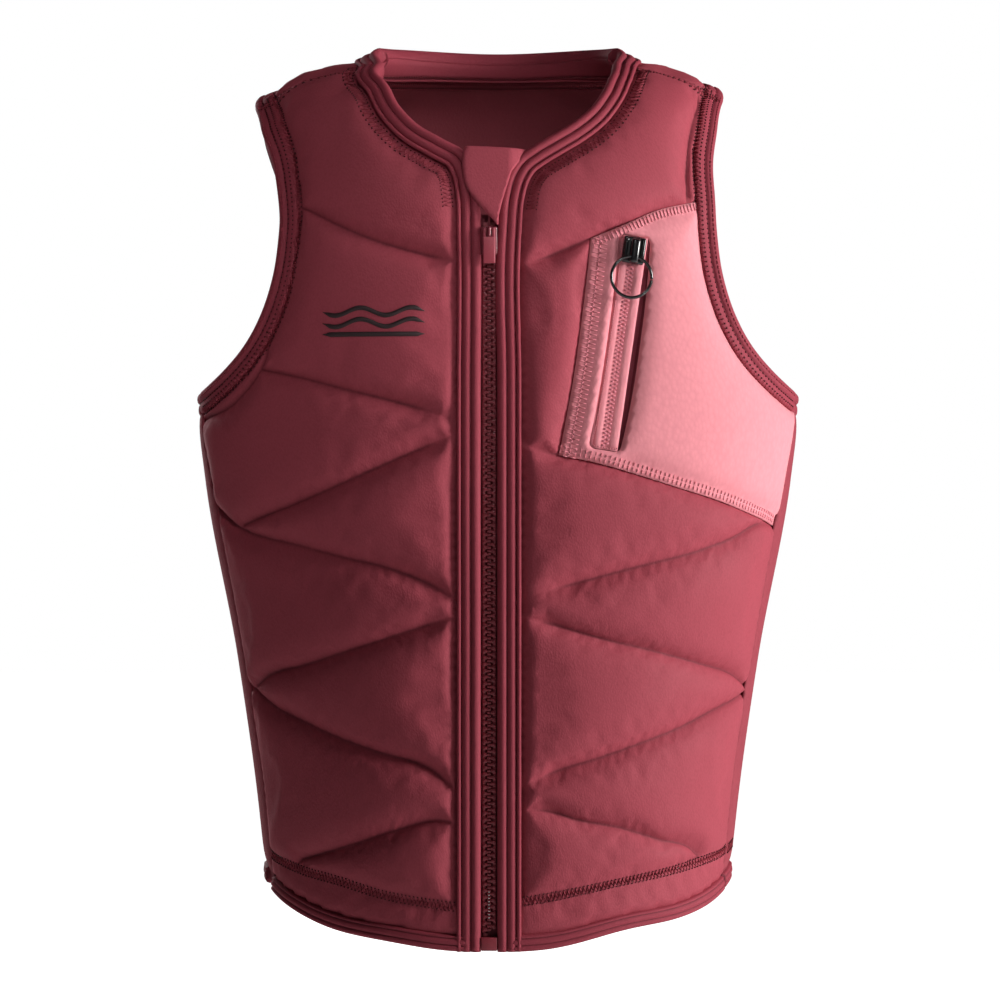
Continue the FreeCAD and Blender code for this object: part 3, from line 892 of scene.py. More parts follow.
    def _inner_rise(self, flat: Array) -> Array:
        """Depth of the lining, which is quilted a little too."""
        rim = FORM.surface(spaced(np.vstack([self.outline, self.outline[:1]]), 1.5))
        places = FORM.surface(flat)
        edge = distance_to(rim, places)
        seam = distance_to(self.seam_places, places)
        return (-5.0 - (self.wall - 5.0) * (1 - np.exp(-edge / 4.5))
                + 1.8 * np.exp(-seam / 5.0) * (1 - np.exp(-edge / 9.0)))

    def _swelled(self, flat: Array, faces: list[list[int]], rise: Array) -> Array:
        """Let the foam press the outer cloth out between its seams.

        Args:
            flat: Flat points of the outer cloth.
            faces: Its triangles.
            rise: Its rise before the cloth is pressed out.

        Returns:
            How far each point moves, in millimetres.
        """
        points = FORM.lift(flat, rise)
        cloth_piece = make_mesh(self.name + "_cloth", points, faces)
        places = FORM.surface(flat)
        held = distance_to(self.seam_places, places) < 1.0
        for edge in self.edges:
            reach = distance_to(FORM.surface(spaced(edge.path, 1.0)), places)
            held |= reach < edge.cover + 1.5
        if self.recess is not None:
            held |= inside(self.recess, flat)
        pins = cloth_piece.vertex_groups.new(name="pins")
        pins.add([int(index) for index in np.nonzero(held)[0]], 1.0, "REPLACE")
        modifier = cloth_piece.modifiers.new("press", "CLOTH")
        settings = modifier.settings
        settings.quality = 5
        settings.mass = 0.25
        settings.tension_stiffness = settings.compression_stiffness = 18
        settings.shear_stiffness = 8
        settings.bending_stiffness = 1.5
        settings.vertex_group_mass = "pins"
        settings.use_pressure = True
        settings.uniform_pressure_force = 4.0
        settings.shrink_min = -0.012
        settings.effector_weights.gravity = 0.0
        modifier.collision_settings.use_collision = False
        scene = bpy.context.scene
        for number in range(1, 21):
            scene.frame_set(number)
        shown = cloth_piece.evaluated_get(bpy.context.evaluated_depsgraph_get())
        after = np.zeros(len(points) * 3, np.float32)
        shown.data.vertices.foreach_get("co", after)
        bpy.data.objects.remove(cloth_piece)
        scene.frame_set(1)
        move = after.reshape(-1, 3) / METRES_PER_MM - points
        length = np.linalg.norm(move, axis=1)
        limit = self.swell * np.tanh(length / self.swell)
        return move * (limit / np.maximum(length, 1e-6))[:, None]

    def build(self) -> bpy.types.Object:
        """Make the closed panel, with the outer cloth and lining as its two materials."""
        seam_points, seam_edges = [], []
        total = len(self.outline)
        aside = []
        for line in self.seams:
            line = self._clear_of_outline(line, 1.4)
            if len(line) < 2:
                continue
            seam_edges += [(total + k, total + k + 1) for k in range(len(line) - 1)
                           if np.linalg.norm(line[k + 1] - line[k]) < 4]
            seam_points.append(line)
            total += len(line)
            for reach in (1.4, 3.1, 5.6):
                for sign in (-1, 1):
                    aside.append(FORM.offset(line, sign * reach, steps=1))
        seam_flat = np.concatenate(seam_points) if seam_points else np.zeros((0, 2))
        dense = np.concatenate([spaced(line, 0.8) for line in self.seams]) if self.seams else seam_flat
        extra = []
        for index, line in enumerate(aside):
            reach = (1.4, 3.1, 5.6)[(index // 2) % 3]
            line = self._clear_of_outline(line, 1.2)
            if len(line):
                extra.append(line[distance_to(dense, line) > reach * 0.8])
        grid = self._clear_of_outline(self._grid_points(self.grid), 2.0)
        grid = grid[distance_to(dense, grid) > 7.4] if len(dense) else grid
        outer_points = np.concatenate([self.outline, seam_flat, *extra, grid])
        outer, outer_faces, outer_border = self._triangulate(outer_points, seam_edges)
        inner_grid = self._clear_of_outline(self._grid_points(self.grid * 1.7), 3.0)
        inner, inner_faces, inner_border = self._triangulate(
            np.concatenate([self.outline, inner_grid]), [])

        rise, shade = self.relief(outer)
        points = FORM.lift(outer, rise)
        if self.swell > 0:
            points = points + self._swelled(outer, outer_faces, rise)
        under = FORM.lift(inner, self._inner_rise(inner))
        welded = {inner_border[k]: outer_border[k] for k in inner_border if k in outer_border}
        number = {index: welded.get(index, len(outer) + index) for index in range(len(inner))}
        faces = outer_faces + [[number[k] for k in face[::-1]] for face in inner_faces]
        points = np.concatenate([points, under])
        flat = np.concatenate([outer, inner])
        marks = np.concatenate([shade, np.zeros(len(inner))])
        used = np.zeros(len(points), bool)
        used[np.unique(np.concatenate([np.ravel(f) for f in faces]).astype(int))] = True
        renumber = np.cumsum(used) - 1
        faces = [[int(renumber[k]) for k in face] for face in faces]
        piece = make_mesh(self.name, points[used], faces, self.side, flat[used], marks[used])
        dress(piece, RED_NEOPRENE, DARK_LINING)
        split = len(outer_faces)
        slots = np.array([0] * split + [1] * (len(faces) - split), np.int32)
        piece.data.polygons.foreach_set("material_index", slots)
        log.info("%s: %d points, %d faces", self.name, len(points), len(faces))
        return piece


# ---------------------------------------------------------------------------
# Bindings, piping and stitching
# ---------------------------------------------------------------------------

@dataclass
class Strip:
    """A tape that runs along an edge: a profile swept on the torso surface.

    Attributes:
        name: Name of the piece.
        side: Right mirrors it.
        path: Flat line of the edge, with the panel on its right.
        profile: Distance into the panel and rise of each profile point.
        finish: Its finish.
    """

    name: str
    side: Side
    path: Array
    profile: Sequence[tuple[float, float]]
    finish: FabricFinish = RED_BINDING

    def build(self) -> bpy.types.Object:
        """Make the closed strip."""
        path = spaced(self.path, 2.6)
        columns = []
        for aside, rise in self.profile:
            columns.append(FORM.lift(FORM.offset(path, aside), rise))
        rows = np.stack(columns, axis=1)
        run = np.concatenate([[0.0], np.cumsum(np.linalg.norm(np.diff(rows[:, 0], axis=0), axis=1))])
        around = np.array(self.profile, float)
        girth = np.concatenate([[0.0], np.cumsum(np.linalg.norm(np.diff(around, axis=0), axis=1))])
        uv = np.stack(np.meshgrid(run, girth, indexing="ij"), axis=-1).reshape(-1, 2)
        # Painted shade: the profile's groove points get a dark seam_shade mark all along the strip.
        rises = around[:, 1]
        groove_shade = np.array([1.0 if 0 < k < len(rises) - 1 and rises[k] < rises[k - 1] - 0.3
                           and rises[k] < rises[k + 1] - 0.3 else 0.0 for k in range(len(rises))])
        marks = np.tile(groove_shade * 0.75, len(path))
        piece = make_mesh(self.name, rows.reshape(-1, 3), tube_faces(*rows.shape[:2]), self.side, uv,
                          marks)
        turn_outward(piece)
        dress(piece, self.finish)
        log.info("%s: %d rows", self.name, len(path))
        return piece


def round_profile(middle: float, rise: float, radius: float, count: int = 10
                  ) -> list[tuple[float, float]]:
    """Profile of a round cord.

    Args:
        middle: Distance of its middle into the panel.
        rise: Rise of its middle.
        radius: Its radius.
        count: Number of points round it.

    Returns:
        The profile points.
    """
    turns = [2 * math.pi * k / count for k in range(count)]
    return [(middle + radius * math.cos(t), rise + radius * math.sin(t)) for t in turns]


FRONT_BINDING = [
    (0.8, -9.0), (-0.1, -7.2), (-0.6, -4.4), (-0.5, -1.8), (0.2, -0.2), (1.5, 0.7), (3.0, 1.0),
    (4.4, 0.7), (5.2, -0.2), (5.7, -1.1), (6.2, -0.2), (7.2, 0.6), (8.8, 0.9), (10.3, 0.5),
    (11.3, -0.5), (11.9, -1.6), (12.3, -4.0), (12.0, -7.6), (9.0, -9.2), (5.0, -9.4),
]
EDGE_BINDING = [
    (0.8, -9.0), (-0.2, -7.0), (-0.7, -4.2), (-0.5, -1.6), (0.3, 0.0), (1.5, 0.7), (2.8, 0.5),
    (3.4, -0.4), (4.0, 0.4), (5.4, 0.8), (7.0, 0.5), (7.7, -0.4), (8.3, 0.2), (9.2, 0.1),
    (9.9, -1.0), (10.1, -4.0), (9.8, -7.6), (7.0, -9.2), (4.0, -9.4),
]


ARM_BINDING = [
    (0.8, -9.0), (-0.2, -7.0), (-0.7, -4.2), (-0.5, -1.6), (0.3, 0.1), (1.7, 0.9), (3.4, 1.0),
    (5.2, 0.6), (6.2, -0.3), (6.8, -1.1), (7.4, -0.5), (8.6, -0.1), (10.4, 0.0), (12.2, -0.2),
    (13.4, -0.7), (13.9, -1.9), (13.9, -4.0), (13.2, -7.6), (9.0, -9.2), (4.0, -9.4),
]


@dataclass
class Threads:
    """Sewing threads laid on finished cloth.

    Attributes:
        name: Name of the piece.
        side: Right mirrors it.
        ground: The cloth that they lie on, made on the same side.
        finish: Their finish.
        radius: Radius of a thread.
        within: Whether they lie on the cloth's face towards the wearer.
    """

    name: str
    side: Side
    ground: Sequence[bpy.types.Object]
    finish: FabricFinish = RED_THREAD
    radius: float = 0.36
    within: bool = False
    runs: list[Array] = field(default_factory=list)

    def __post_init__(self) -> None:
        """Prepare the cloth for measuring."""
        self.trees = []
        for cloth in self.ground:
            place = np.zeros(len(cloth.data.vertices) * 3, np.float32)
            cloth.data.vertices.foreach_get("co", place)
            place = place.reshape(-1, 3) / METRES_PER_MM
            if self.side is Side.RIGHT:
                place = place * np.array([-1.0, 1.0, 1.0])
            faces = [tuple(face.vertices) for face in cloth.data.polygons]
            self.trees.append(BVHTree.FromPolygons([Vector(p) for p in place], faces))

    def laid(self, flat: Array) -> Array:
        """Points on the cloth's outer face over flat points."""
        base, normal = FORM.surface(flat), FORM.normals(flat)
        laid = base.copy()
        away = 12.0
        if self.within:
            normal, away = -normal, 26.0
        for index, (point, outward) in enumerate(zip(base, normal)):
            start = Vector(point + outward * away)
            reach = [tree.ray_cast(start, Vector(-outward), away + 10) for tree in self.trees]
            hits = [(hit[3], hit[0]) for hit in reach if hit[0] is not None]
            if hits:
                laid[index] = np.array(min(hits, key=lambda hit: hit[0])[1])
            laid[index] += outward * self.radius * 0.55
        return laid

    def sew(self, path: Array, aside: float, pattern: StitchPattern, width: float = 3.0,
            pitch: float = 3.0) -> None:
        """Sew one row along a flat path.

        Args:
            path: The flat line that the row follows.
            aside: Distance of the row to the right of the line.
            pattern: How the thread runs.
            width: Width of the row.
            pitch: Length of one stitch along the row.
        """
        along = spaced(path, pitch / 2)
        left = FORM.offset(along, aside - width / 2)
        right = FORM.offset(along, aside + width / 2)
        middle = (left + right) / 2
        if pattern is StitchPattern.ZIGZAG:
            corners = np.where((np.arange(len(along)) % 2 == 0)[:, None], left, right)
            self.runs.append(self.laid(spaced_pairs(corners)))
        elif pattern is StitchPattern.DOTS:
            for start in range(0, len(along) - 1, 2):
                gap = middle[start + 1] - middle[start]
                self.runs.append(self.laid(np.array([middle[start], middle[start] + gap * 0.6])))
        elif pattern is StitchPattern.DASHES:
            for start in range(0, len(along) - 1, 2):
                gap = middle[start + 1] - middle[start]
                ends = np.array([middle[start] + gap * 0.02, middle[start] + gap * 0.5,
                                 middle[start + 1] + gap * 0.38])
                self.runs.append(self.laid(ends))
        else:
            for start in range(0, len(along), 2):
                rung = np.array([left[start], middle[start], right[start]])
                self.runs.append(self.laid(rung))

    def build(self) -> bpy.types.Object:
        """Make all the sewn rows one mesh."""
        points, faces = [], []
        corner_turns = np.arange(4) * math.pi / 2 + math.pi / 4
        for run in self.runs:
            along = np.gradient(run, axis=0)
            along /= np.maximum(np.linalg.norm(along, axis=1), 1e-9)[:, None]
            helper = np.where(np.abs(along[:, 2:3]) > 0.9, [[1.0, 0.0, 0.0]], [[0.0, 0.0, 1.0]])
            first = np.cross(along, helper)
            first /= np.linalg.norm(first, axis=1)[:, None]
            second = np.cross(along, first)
            rows = (run[:, None] + self.radius * (np.cos(corner_turns)[None, :, None] * first[:, None]
                    + np.sin(corner_turns)[None, :, None] * second[:, None]))
            start = len(points) * 4
            faces += [[start + k for k in face] for face in tube_faces(len(run), 4)]
            points += list(rows)
        joined = np.concatenate(points) if points else np.zeros((0, 3))
        piece = make_mesh(self.name, joined, faces, self.side)
        turn_outward(piece)
        dress(piece, self.finish)
        log.info("%s: %d rows of thread, %d faces", self.name, len(self.runs), len(faces))
        return piece


def spaced_pairs(corners: Array) -> Array:
    """A zigzag with a middle point on each leg, so that it follows the cloth."""
    middles = (corners[:-1] + corners[1:]) / 2
    woven = np.empty((len(corners) + len(middles), corners.shape[1]))
    woven[0::2], woven[1::2] = corners, middles
    return woven


# ---------------------------------------------------------------------------
# Pattern lines
# ---------------------------------------------------------------------------

@dataclass(frozen=True)
class FrontPattern:
    """Lines of one front, drawn as on the wearer's left: across and height.

    Attributes:
        side: The front that they belong to.
        front_edge: Edge by the zip and along the neckline, from the hem up.
        seams: Channels across the front.
        hem_seam: Seam above the hem binding.
        band: Inner seam of the armhole band, from the shoulder down.
    """

    side: Side
    front_edge: Line
    seams: Sequence[Line]
    hem_seam: Line
    band: Line


SHOULDER_SEAM = ((75.5, 572), (90, 570), (108, 567.5), (126, 563), (141, 558), (149, 553))
ARMHOLE_FRONT = ((-20, 553), (-34, 545), (-54, 524), (-67, 504), (-75, 482), (-79, 456),
                 (-79.5, 430), (-76, 406), (-68, 386), (-52, 369), (-36, 361), (-18, 356.5))
SIDE_SEAM = ((-18, 356.5), (-22, 338), (-32, 278), (-32, 194), (-35, 115), (-35, 30))
FRONT_HEM = ((-35, 29.5), (-58, 22), (-88, 11), (-104, 5), (-113, 1), (-115, 0))
BACK_SIDE_TOP, BACK_SIDE_FOOT = 359.0, 33.0
BACK_HEM = ((25, 33), (50, 27), (80, 20), (89, 18))
ARMHOLE_BACK = ((25, 359), (40, 366), (54, 380), (66, 400), (72, 422), (73, 450), (69, 478),
                (60, 503), (48, 525), (32, 545), (14, 557), (-1, 560), (-20, 553))
UNDERARM = ((25, 359), (8, 356), (-18, 356.5))
NECK_BACK = ((-0.931, 572), (-0.85, 574.5), (-0.5, 581.5), (-0.2, 586), (0.1, 588.5), (0.5, 590.5),
             (math.pi / 2, 591))
BACK_CHANNELS = ((436, (124, 472)), (338, (150, 369)), (328, (167, 270)), (224, (168, 266)),
                 (214, (158, 166)), (104, (156, 160)))

LEFT_PATTERN = FrontPattern(
    side=Side.LEFT,
    front_edge=((0.2, 0), (0.2, 120), (0.2, 240), (0.2, 360), (0.2, 455), (2.5, 480), (6.5, 494),
                (13, 504), (22, 511), (34, 518.5), (46, 526), (58, 536), (67, 548.5), (73, 562),
                (75.5, 572)),
    seams=(
        ((13, 435), (23, 437), (39, 443), (59.5, 452), (84, 462.5), (103, 471), (123, 476.5),
         (129, 478)),
        ((184, 268), (174, 270.4), (149.5, 259.6), (123, 251), (97, 245), (65, 237), (27, 227)),
        ((17, 212), (39, 206), (65, 198.5), (97, 190.5), (130, 181), (150.5, 174), (164, 164)),
        ((164, 159), (140, 149), (116.5, 139), (90, 130), (65, 122), (39, 114.5), (18, 106)),
        ((13, 90), (30, 89), (52, 83), (77.5, 77.6), (103.5, 69), (128, 59), (131, 55), (124, 52)),
        ((19, 319.5), (39, 314.5), (65, 309), (90, 302), (116, 294), (142, 286), (163, 278),
         (184, 268)),
        ((59.5, 452), (55, 412), (49, 368), (44, 340), (39, 314.5)),
    ),
    hem_seam=((11, 31), (61, 38), (104, 46), (127, 51), (148, 56), (155, 60)),
    band=((133, 550), (125, 516), (123, 476), (126, 452), (132.5, 424), (142, 398), (156, 378),
          (173, 362), (196, 349)),
)
RIGHT_PATTERN = FrontPattern(
    side=Side.RIGHT,
    front_edge=((11.4, 0), (11.4, 120), (11.4, 240), (11.4, 360), (11.4, 455), (12.2, 480),
                (15.5, 497), (21, 507), (36, 516.5), (52, 526.5), (64, 540), (71.5, 555),
                (75.5, 572)),
    seams=(
        ((22, 437), (32, 438.4), (56, 444), (81, 452), (104, 462), (125, 473), (127, 474)),
        ((35, 340), (68, 349), (100, 357), (126.5, 364), (154, 370)),
        ((29, 326.5), (62, 313), (94, 299), (127, 285), (167, 269)),
        ((184.5, 279), (167.6, 266.5), (127, 256), (94, 248), (75, 244), (49, 235), (23, 222)),
        ((27, 212), (62, 201), (94, 190.5), (127, 179.5), (148, 173), (159, 164.5)),
        ((161, 162), (148, 152), (127, 143), (101, 133), (75, 125), (49, 118), (22, 99.5)),
        ((22, 82), (43, 82), (68.5, 75), (94, 66), (114, 59), (128.5, 53.6)),
    ),
    hem_seam=((25, 28), (72, 34), (102, 42), (128, 47), (150, 54)),
    band=((139, 545), (127, 475), (131, 444), (137, 415), (148, 387), (154, 371), (172, 350),
          (196, 338)),
)
POCKET_EDGE = ((39, 314.5), (44, 340), (49, 368), (55, 412), (59.5, 452))
POCKET_TOP = ((59.5, 452), (84, 462.5), (103, 471), (123, 476.5), (129, 478))
POCKET_FOOT = ((184, 268), (163, 278), (142, 286), (116, 294), (90, 302), (65, 309), (39, 314.5))


# ---------------------------------------------------------------------------
# Fronts
# ---------------------------------------------------------------------------

@dataclass
class Front:
    """One front of the vest: quilt, bindings, piping and stitches.

    Attributes:
        pattern: Its lines.
        binding_cover: Width that the front binding and piping cover.
        arm_cover: Width that the armhole binding covers.
        hem_cover: Width that the hem binding covers.
    """

    pattern: FrontPattern
    binding_cover: float = 14.0
    arm_cover: float = 13.6
    hem_cover: float = 9.6

    def __post_init__(self) -> None:
        """Lay the pattern's lines out flat."""
        pattern = self.pattern
        self.side = pattern.side
        self.prefix = pattern.side.body
        self.front_edge = smooth_line(FORM.from_front(pattern.front_edge), 2.5)
        self.shoulder = smooth_line(FORM.from_front(SHOULDER_SEAM), 2.5)
        self.armhole = smooth_line(FORM.from_side(ARMHOLE_FRONT), 2.5)
        self.armhole[0] = self.shoulder[-1]
        self.side_seam = smooth_line(FORM.from_side(SIDE_SEAM), 2.5)
        hem = FORM.from_side(FRONT_HEM)
        hem[-1] = self.front_edge[0]
        keep = hem[:, 0] >= self.front_edge[0, 0] - 0.01
        self.hem = smooth_line(hem[keep], 2.5)
        self.side_seam[-1] = self.hem[0]

    def _seams(self) -> list[Array]:
        """Flat lines of all the channels."""
        lines = [smooth_line(FORM.from_front(line), 2.4) for line in self.pattern.seams]
        lines.append(smooth_line(FORM.from_front(self.pattern.hem_seam), 2.4))
        lines.append(smooth_line(FORM.from_front(self.pattern.band), 2.4))
        return lines

    def _replaced(self) -> list[str]:
        """CAD nodes that the quilt stands for."""
        word = self.side.name.lower()
        names = [f"{word}_front_shell", f"{word}_front_lining"]
        names += [name for name in frame["nodes"] if name.startswith(f"{word}_foam_")]
        if self.side is Side.LEFT:
            names.append("pocket_bag")
        return names

    def build(self, recess: Optional[Array] = None, window: Optional[Array] = None) -> None:
        """Make every soft piece of this front.

        Args:
            recess: Flat outline of the pocket panel over it, if any.
            window: Flat outline of the pocket's zip window, if any.
        """
        edges = [Edge(self.front_edge, self.binding_cover), Edge(self.shoulder),
                 Edge(self.armhole, self.arm_cover), Edge(self.side_seam),
                 Edge(self.hem, self.hem_cover)]
        seams = self._seams()
        quilt = QuiltedPanel(f"{self.prefix}_quilt", self.side, edges, seams, recess=recess,
                             window=window, hem_seam=seams[-2])
        self.quilt = quilt.build()
        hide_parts(*self._replaced())
        self._bindings()
        self._threads()
        for piece in (self.quilt, *self.tapes):
            attach(piece, self.side)

    def _bindings(self) -> None:
        """Make the bindings and the piping."""
        hem_path = self.hem[self.hem[:, 0] > self.front_edge[0, 0] + 9]
        shapes = (
            ("binding", self.front_edge, FRONT_BINDING),
            ("piping", self.front_edge, round_profile(13.3, -0.5, 1.45)),
            ("hem_binding", hem_path, EDGE_BINDING),
            ("armhole_binding", self.armhole, ARM_BINDING),
        )
        self.tapes = []
        for name, path, profile in shapes:
            piece = Strip(f"{self.prefix}_{name}_tape", self.side, path, profile).build()
            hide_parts(f"{self.prefix}_{name}")
            self.tapes.append(piece)
        self.arm_tape = self.tapes[-1]

    def _threads(self) -> None:
        """Sew the neckline, the armhole band, the shoulder and the hem."""
        ground = [self.quilt, self.arm_tape]
        threads = Threads(f"{self.prefix}_stitches", self.side, ground, radius=0.42)
        # Dark dots on both edges of each row: painted shade in the needle holes.
        hole_shade = Threads(f"{self.prefix}_needle_holes", self.side, ground, NEEDLE_HOLE_SHADE, radius=0.55)
        heights = FORM.surface(self.front_edge)[:, 2]
        neck = self.front_edge[heights > 470]
        hem_seam = smooth_line(FORM.from_front(self.pattern.hem_seam), 2.4)
        arm, shoulder = self.armhole[3:-3], self.shoulder[4:-4]
        rows = ((neck, 20.0, 4.8, 3.0), (hem_seam, 0.0, 4.2, 3.0), (arm, 13.6, 3.4, 2.8),
                (shoulder, 8.5, 4.2, 2.8))
        for path, aside, width, pitch in rows:
            threads.sew(path, aside, StitchPattern.ZIGZAG, width, pitch)
            for edge in (-0.5, 0.5):
                hole_shade.sew(path, aside + edge * (width + 1.2), StitchPattern.DOTS, 0.8, pitch)
        hole_shade.sew(arm, 7.4, StitchPattern.DOTS, 0.8, 3.0)
        threads.sew(arm, 3.6, StitchPattern.DASHES, 0.8, 3.0)
        for sewn in (threads, hole_shade):
            attach(sewn.build(), self.side)


# ---------------------------------------------------------------------------
# Back and sides
# ---------------------------------------------------------------------------

@dataclass
class Back:
    """The back quilt, its bindings and the two stretch side panels.

    Attributes:
        arm_cover: Width that the armhole binding covers.
        hem_cover: Width that the hem binding covers.
        neck_cover: Width that the neck binding covers.
    """

    arm_cover: float = 13.6
    hem_cover: float = 9.6
    neck_cover: float = 12.0

    def __post_init__(self) -> None:
        """Lay the pattern's lines out flat."""
        mirror = FORM.mirror_behind
        side = FORM.from_side(((25, BACK_SIDE_FOOT), (25, 120), (25, 240), (25, BACK_SIDE_TOP)))
        self.left_side = smooth_line(side, 2.5)
        self.left_armhole = smooth_line(FORM.from_side(ARMHOLE_BACK), 2.5)
        self.shoulder = smooth_line(FORM.from_front(SHOULDER_SEAM), 2.5)[::-1]
        self.left_armhole[-1] = self.shoulder[0]
        neck_half = FORM.from_turns(NECK_BACK)
        neck_half[0] = self.shoulder[-1]
        whole = np.concatenate([neck_half, mirror(neck_half)[::-1][1:]])
        self.neck = smooth_line(whole, 2.5)
        hem_half = FORM.from_side(BACK_HEM)
        hem_half[-1] = (FORM.back_middle, hem_half[-1, 1])
        self.hem = smooth_line(np.concatenate([hem_half, mirror(hem_half)[::-1][1:]]), 2.5)[::-1]

    def _channels(self) -> list[Array]:
        """Flat lines of the back's channels."""
        lines = []
        for middle, (across, height) in BACK_CHANNELS:
            half = FORM.from_behind(((2, middle), (across * 0.55, middle * 0.42 + height * 0.58),
                                     (across, height)))
            half[0] = (FORM.back_middle, half[0, 1])
            lines.append(smooth_line(np.concatenate([half, FORM.mirror_behind(half)[::-1][1:]]), 2.4))
        return lines

    def build(self) -> None:
        """Make every piece of the back."""
        mirror = FORM.mirror_behind
        edges = [
            Edge(self.left_side), Edge(self.left_armhole, self.arm_cover), Edge(self.shoulder),
            Edge(self.neck, self.neck_cover), Edge(mirror(self.shoulder)[::-1]),
            Edge(mirror(self.left_armhole)[::-1], self.arm_cover), Edge(mirror(self.left_side)[::-1]),
            Edge(self.hem, self.hem_cover),
        ]
        quilt = QuiltedPanel("back_quilt", Side.LEFT, edges, self._channels(), grid=4.8,
                             fading=False)
        self.quilt = quilt.build()
        inner = [name for name in frame["nodes"] if name.startswith("back_foam_")]
        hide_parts("back_shell", "back_lining", *inner)
        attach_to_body(self.quilt, "back")
        self._bindings()
        for side in Side:
            self._side_panel(side)

    def _bindings(self) -> None:
        """Make the neck, armhole and hem bindings."""
        hem = smooth_line(np.concatenate([
            FORM.from_side(((-33, 31), (-10, 35), (10, 35))), FORM.from_side(BACK_HEM)[:-1]]), 2.5)
        far = FORM.mirror_behind(hem)[::-1]
        whole_hem = smooth_line(np.concatenate([hem, far])[::8], 2.5)[::-1]
        neck = Strip("back_neck_tape", Side.LEFT, self.neck, FRONT_BINDING).build()
        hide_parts("back_neck_binding")
        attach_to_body(neck, "back")
        piping = Strip("back_neck_piping", Side.LEFT, self.neck, round_profile(13.3, -0.5, 1.45))
        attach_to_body(piping.build(), "back")
        band_profile = ((1.0, -9.0), (1.2, -10.4), (4.0, -12.2), (8.0, -14.2), (11.2, -15.6),
                        (12.0, -15.0), (11.8, -13.6), (6.0, -11.0))
        band = Strip("back_neck_band", Side.LEFT, self.neck, band_profile).build()
        cord = Strip("back_neck_cord", Side.LEFT, self.neck, round_profile(12.8, -15.3, 1.0)).build()
        seam = Threads("back_neck_stitches", Side.LEFT, [self.quilt, band], within=True)
        inner = self.neck[2:-2]
        seam.sew(inner, 9.6, StitchPattern.DASHES, 0.8, 3.0)
        seam.sew(inner, 19.0, StitchPattern.ZIGZAG, 5.0, 3.2)
        seam.sew(inner, 23.6, StitchPattern.DASHES, 0.8, 3.2)
        # Dark dots along the inner rows: painted shade in the needle holes.
        hole_shade = Threads("back_neck_needle_holes", Side.LEFT, [self.quilt, band], NEEDLE_HOLE_SHADE,
                        radius=0.6, within=True)
        for aside in (9.6, 15.6, 18.9, 22.2):
            hole_shade.sew(inner, aside, StitchPattern.DOTS, 0.8, 3.2)
        for piece in (band, cord, seam.build(), hole_shade.build()):
            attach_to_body(piece, "back")
        hem_piece = Strip("back_hem_tape", Side.LEFT, whole_hem, EDGE_BINDING).build()
        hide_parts("back_hem_binding")
        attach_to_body(hem_piece, "back")
        under = FORM.from_side(UNDERARM)[::-1]
        arm = np.concatenate([smooth_line(under, 2.5)[:-1], self.left_armhole])
        for side in Side:
            piece = Strip(f"{side.name.lower()}_back_armhole_tape", side, arm, ARM_BINDING).build()
            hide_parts("back_armhole_bindings")
            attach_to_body(piece, "back")

    def _side_panel(self, side: Side) -> None:
        """Make one stretch side panel."""
        foot = smooth_line(FORM.from_side(((26, 33), (8, 35), (-12, 35), (-35, 30))), 2.5)
        front = smooth_line(FORM.from_side(SIDE_SEAM), 2.5)[::-1]
        for line in (front, foot[-1:]):
            line[:, 0] -= SEAM_LAP
        front[0] = foot[-1]
        top = smooth_line(FORM.from_side(UNDERARM), 2.5)[::-1]
        top[0] = front[-1]
        back = smooth_line(FORM.from_side(((26, BACK_SIDE_TOP), (26, 240), (26, 120), (26, 33))), 2.5)
        top[-1], foot[0] = back[0], back[-1]
        edges = [Edge(front), Edge(top, 9.0), Edge(back), Edge(foot, 9.0)]
        panel = QuiltedPanel(f"{side.name.lower()}_side_stretch", side, edges, [], grid=5.0,
                             pillow=2.4, crown=0.4, sink=2.6, swell=0.0, wall=5.6)
        piece = panel.build()
        dress(piece, SIDE_STRETCH, DARK_LINING)
        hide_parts(f"{side.name.lower()}_side_panel")
        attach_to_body(piece, "back")


# ---------------------------------------------------------------------------
# Flat patches and the chest pocket
# ---------------------------------------------------------------------------

def apply_all(piece: bpy.types.Object) -> None:
    """Apply every modifier of a piece."""
    bpy.ops.object.select_all(action="DESELECT")
    bpy.context.view_layer.objects.active = piece
    piece.select_set(True)
    for modifier in list(piece.modifiers):
        bpy.ops.object.modifier_apply(modifier=modifier.name)
    piece.select_set(False)


def repeat_upward(piece: bpy.types.Object, count: int, pitch: float) -> None:
    """Repeat a piece up a row.

    Args:
        piece: The lowest one, which becomes the whole row.
        count: How many there are.
        pitch: Distance between them.
    """
    row = piece.modifiers.new("row", "ARRAY")
    row.count = count
    row.use_relative_offset = False
    row.use_constant_offset = True
    row.constant_offset_displace = (0, 0, pitch * METRES_PER_MM)
    apply_all(piece)


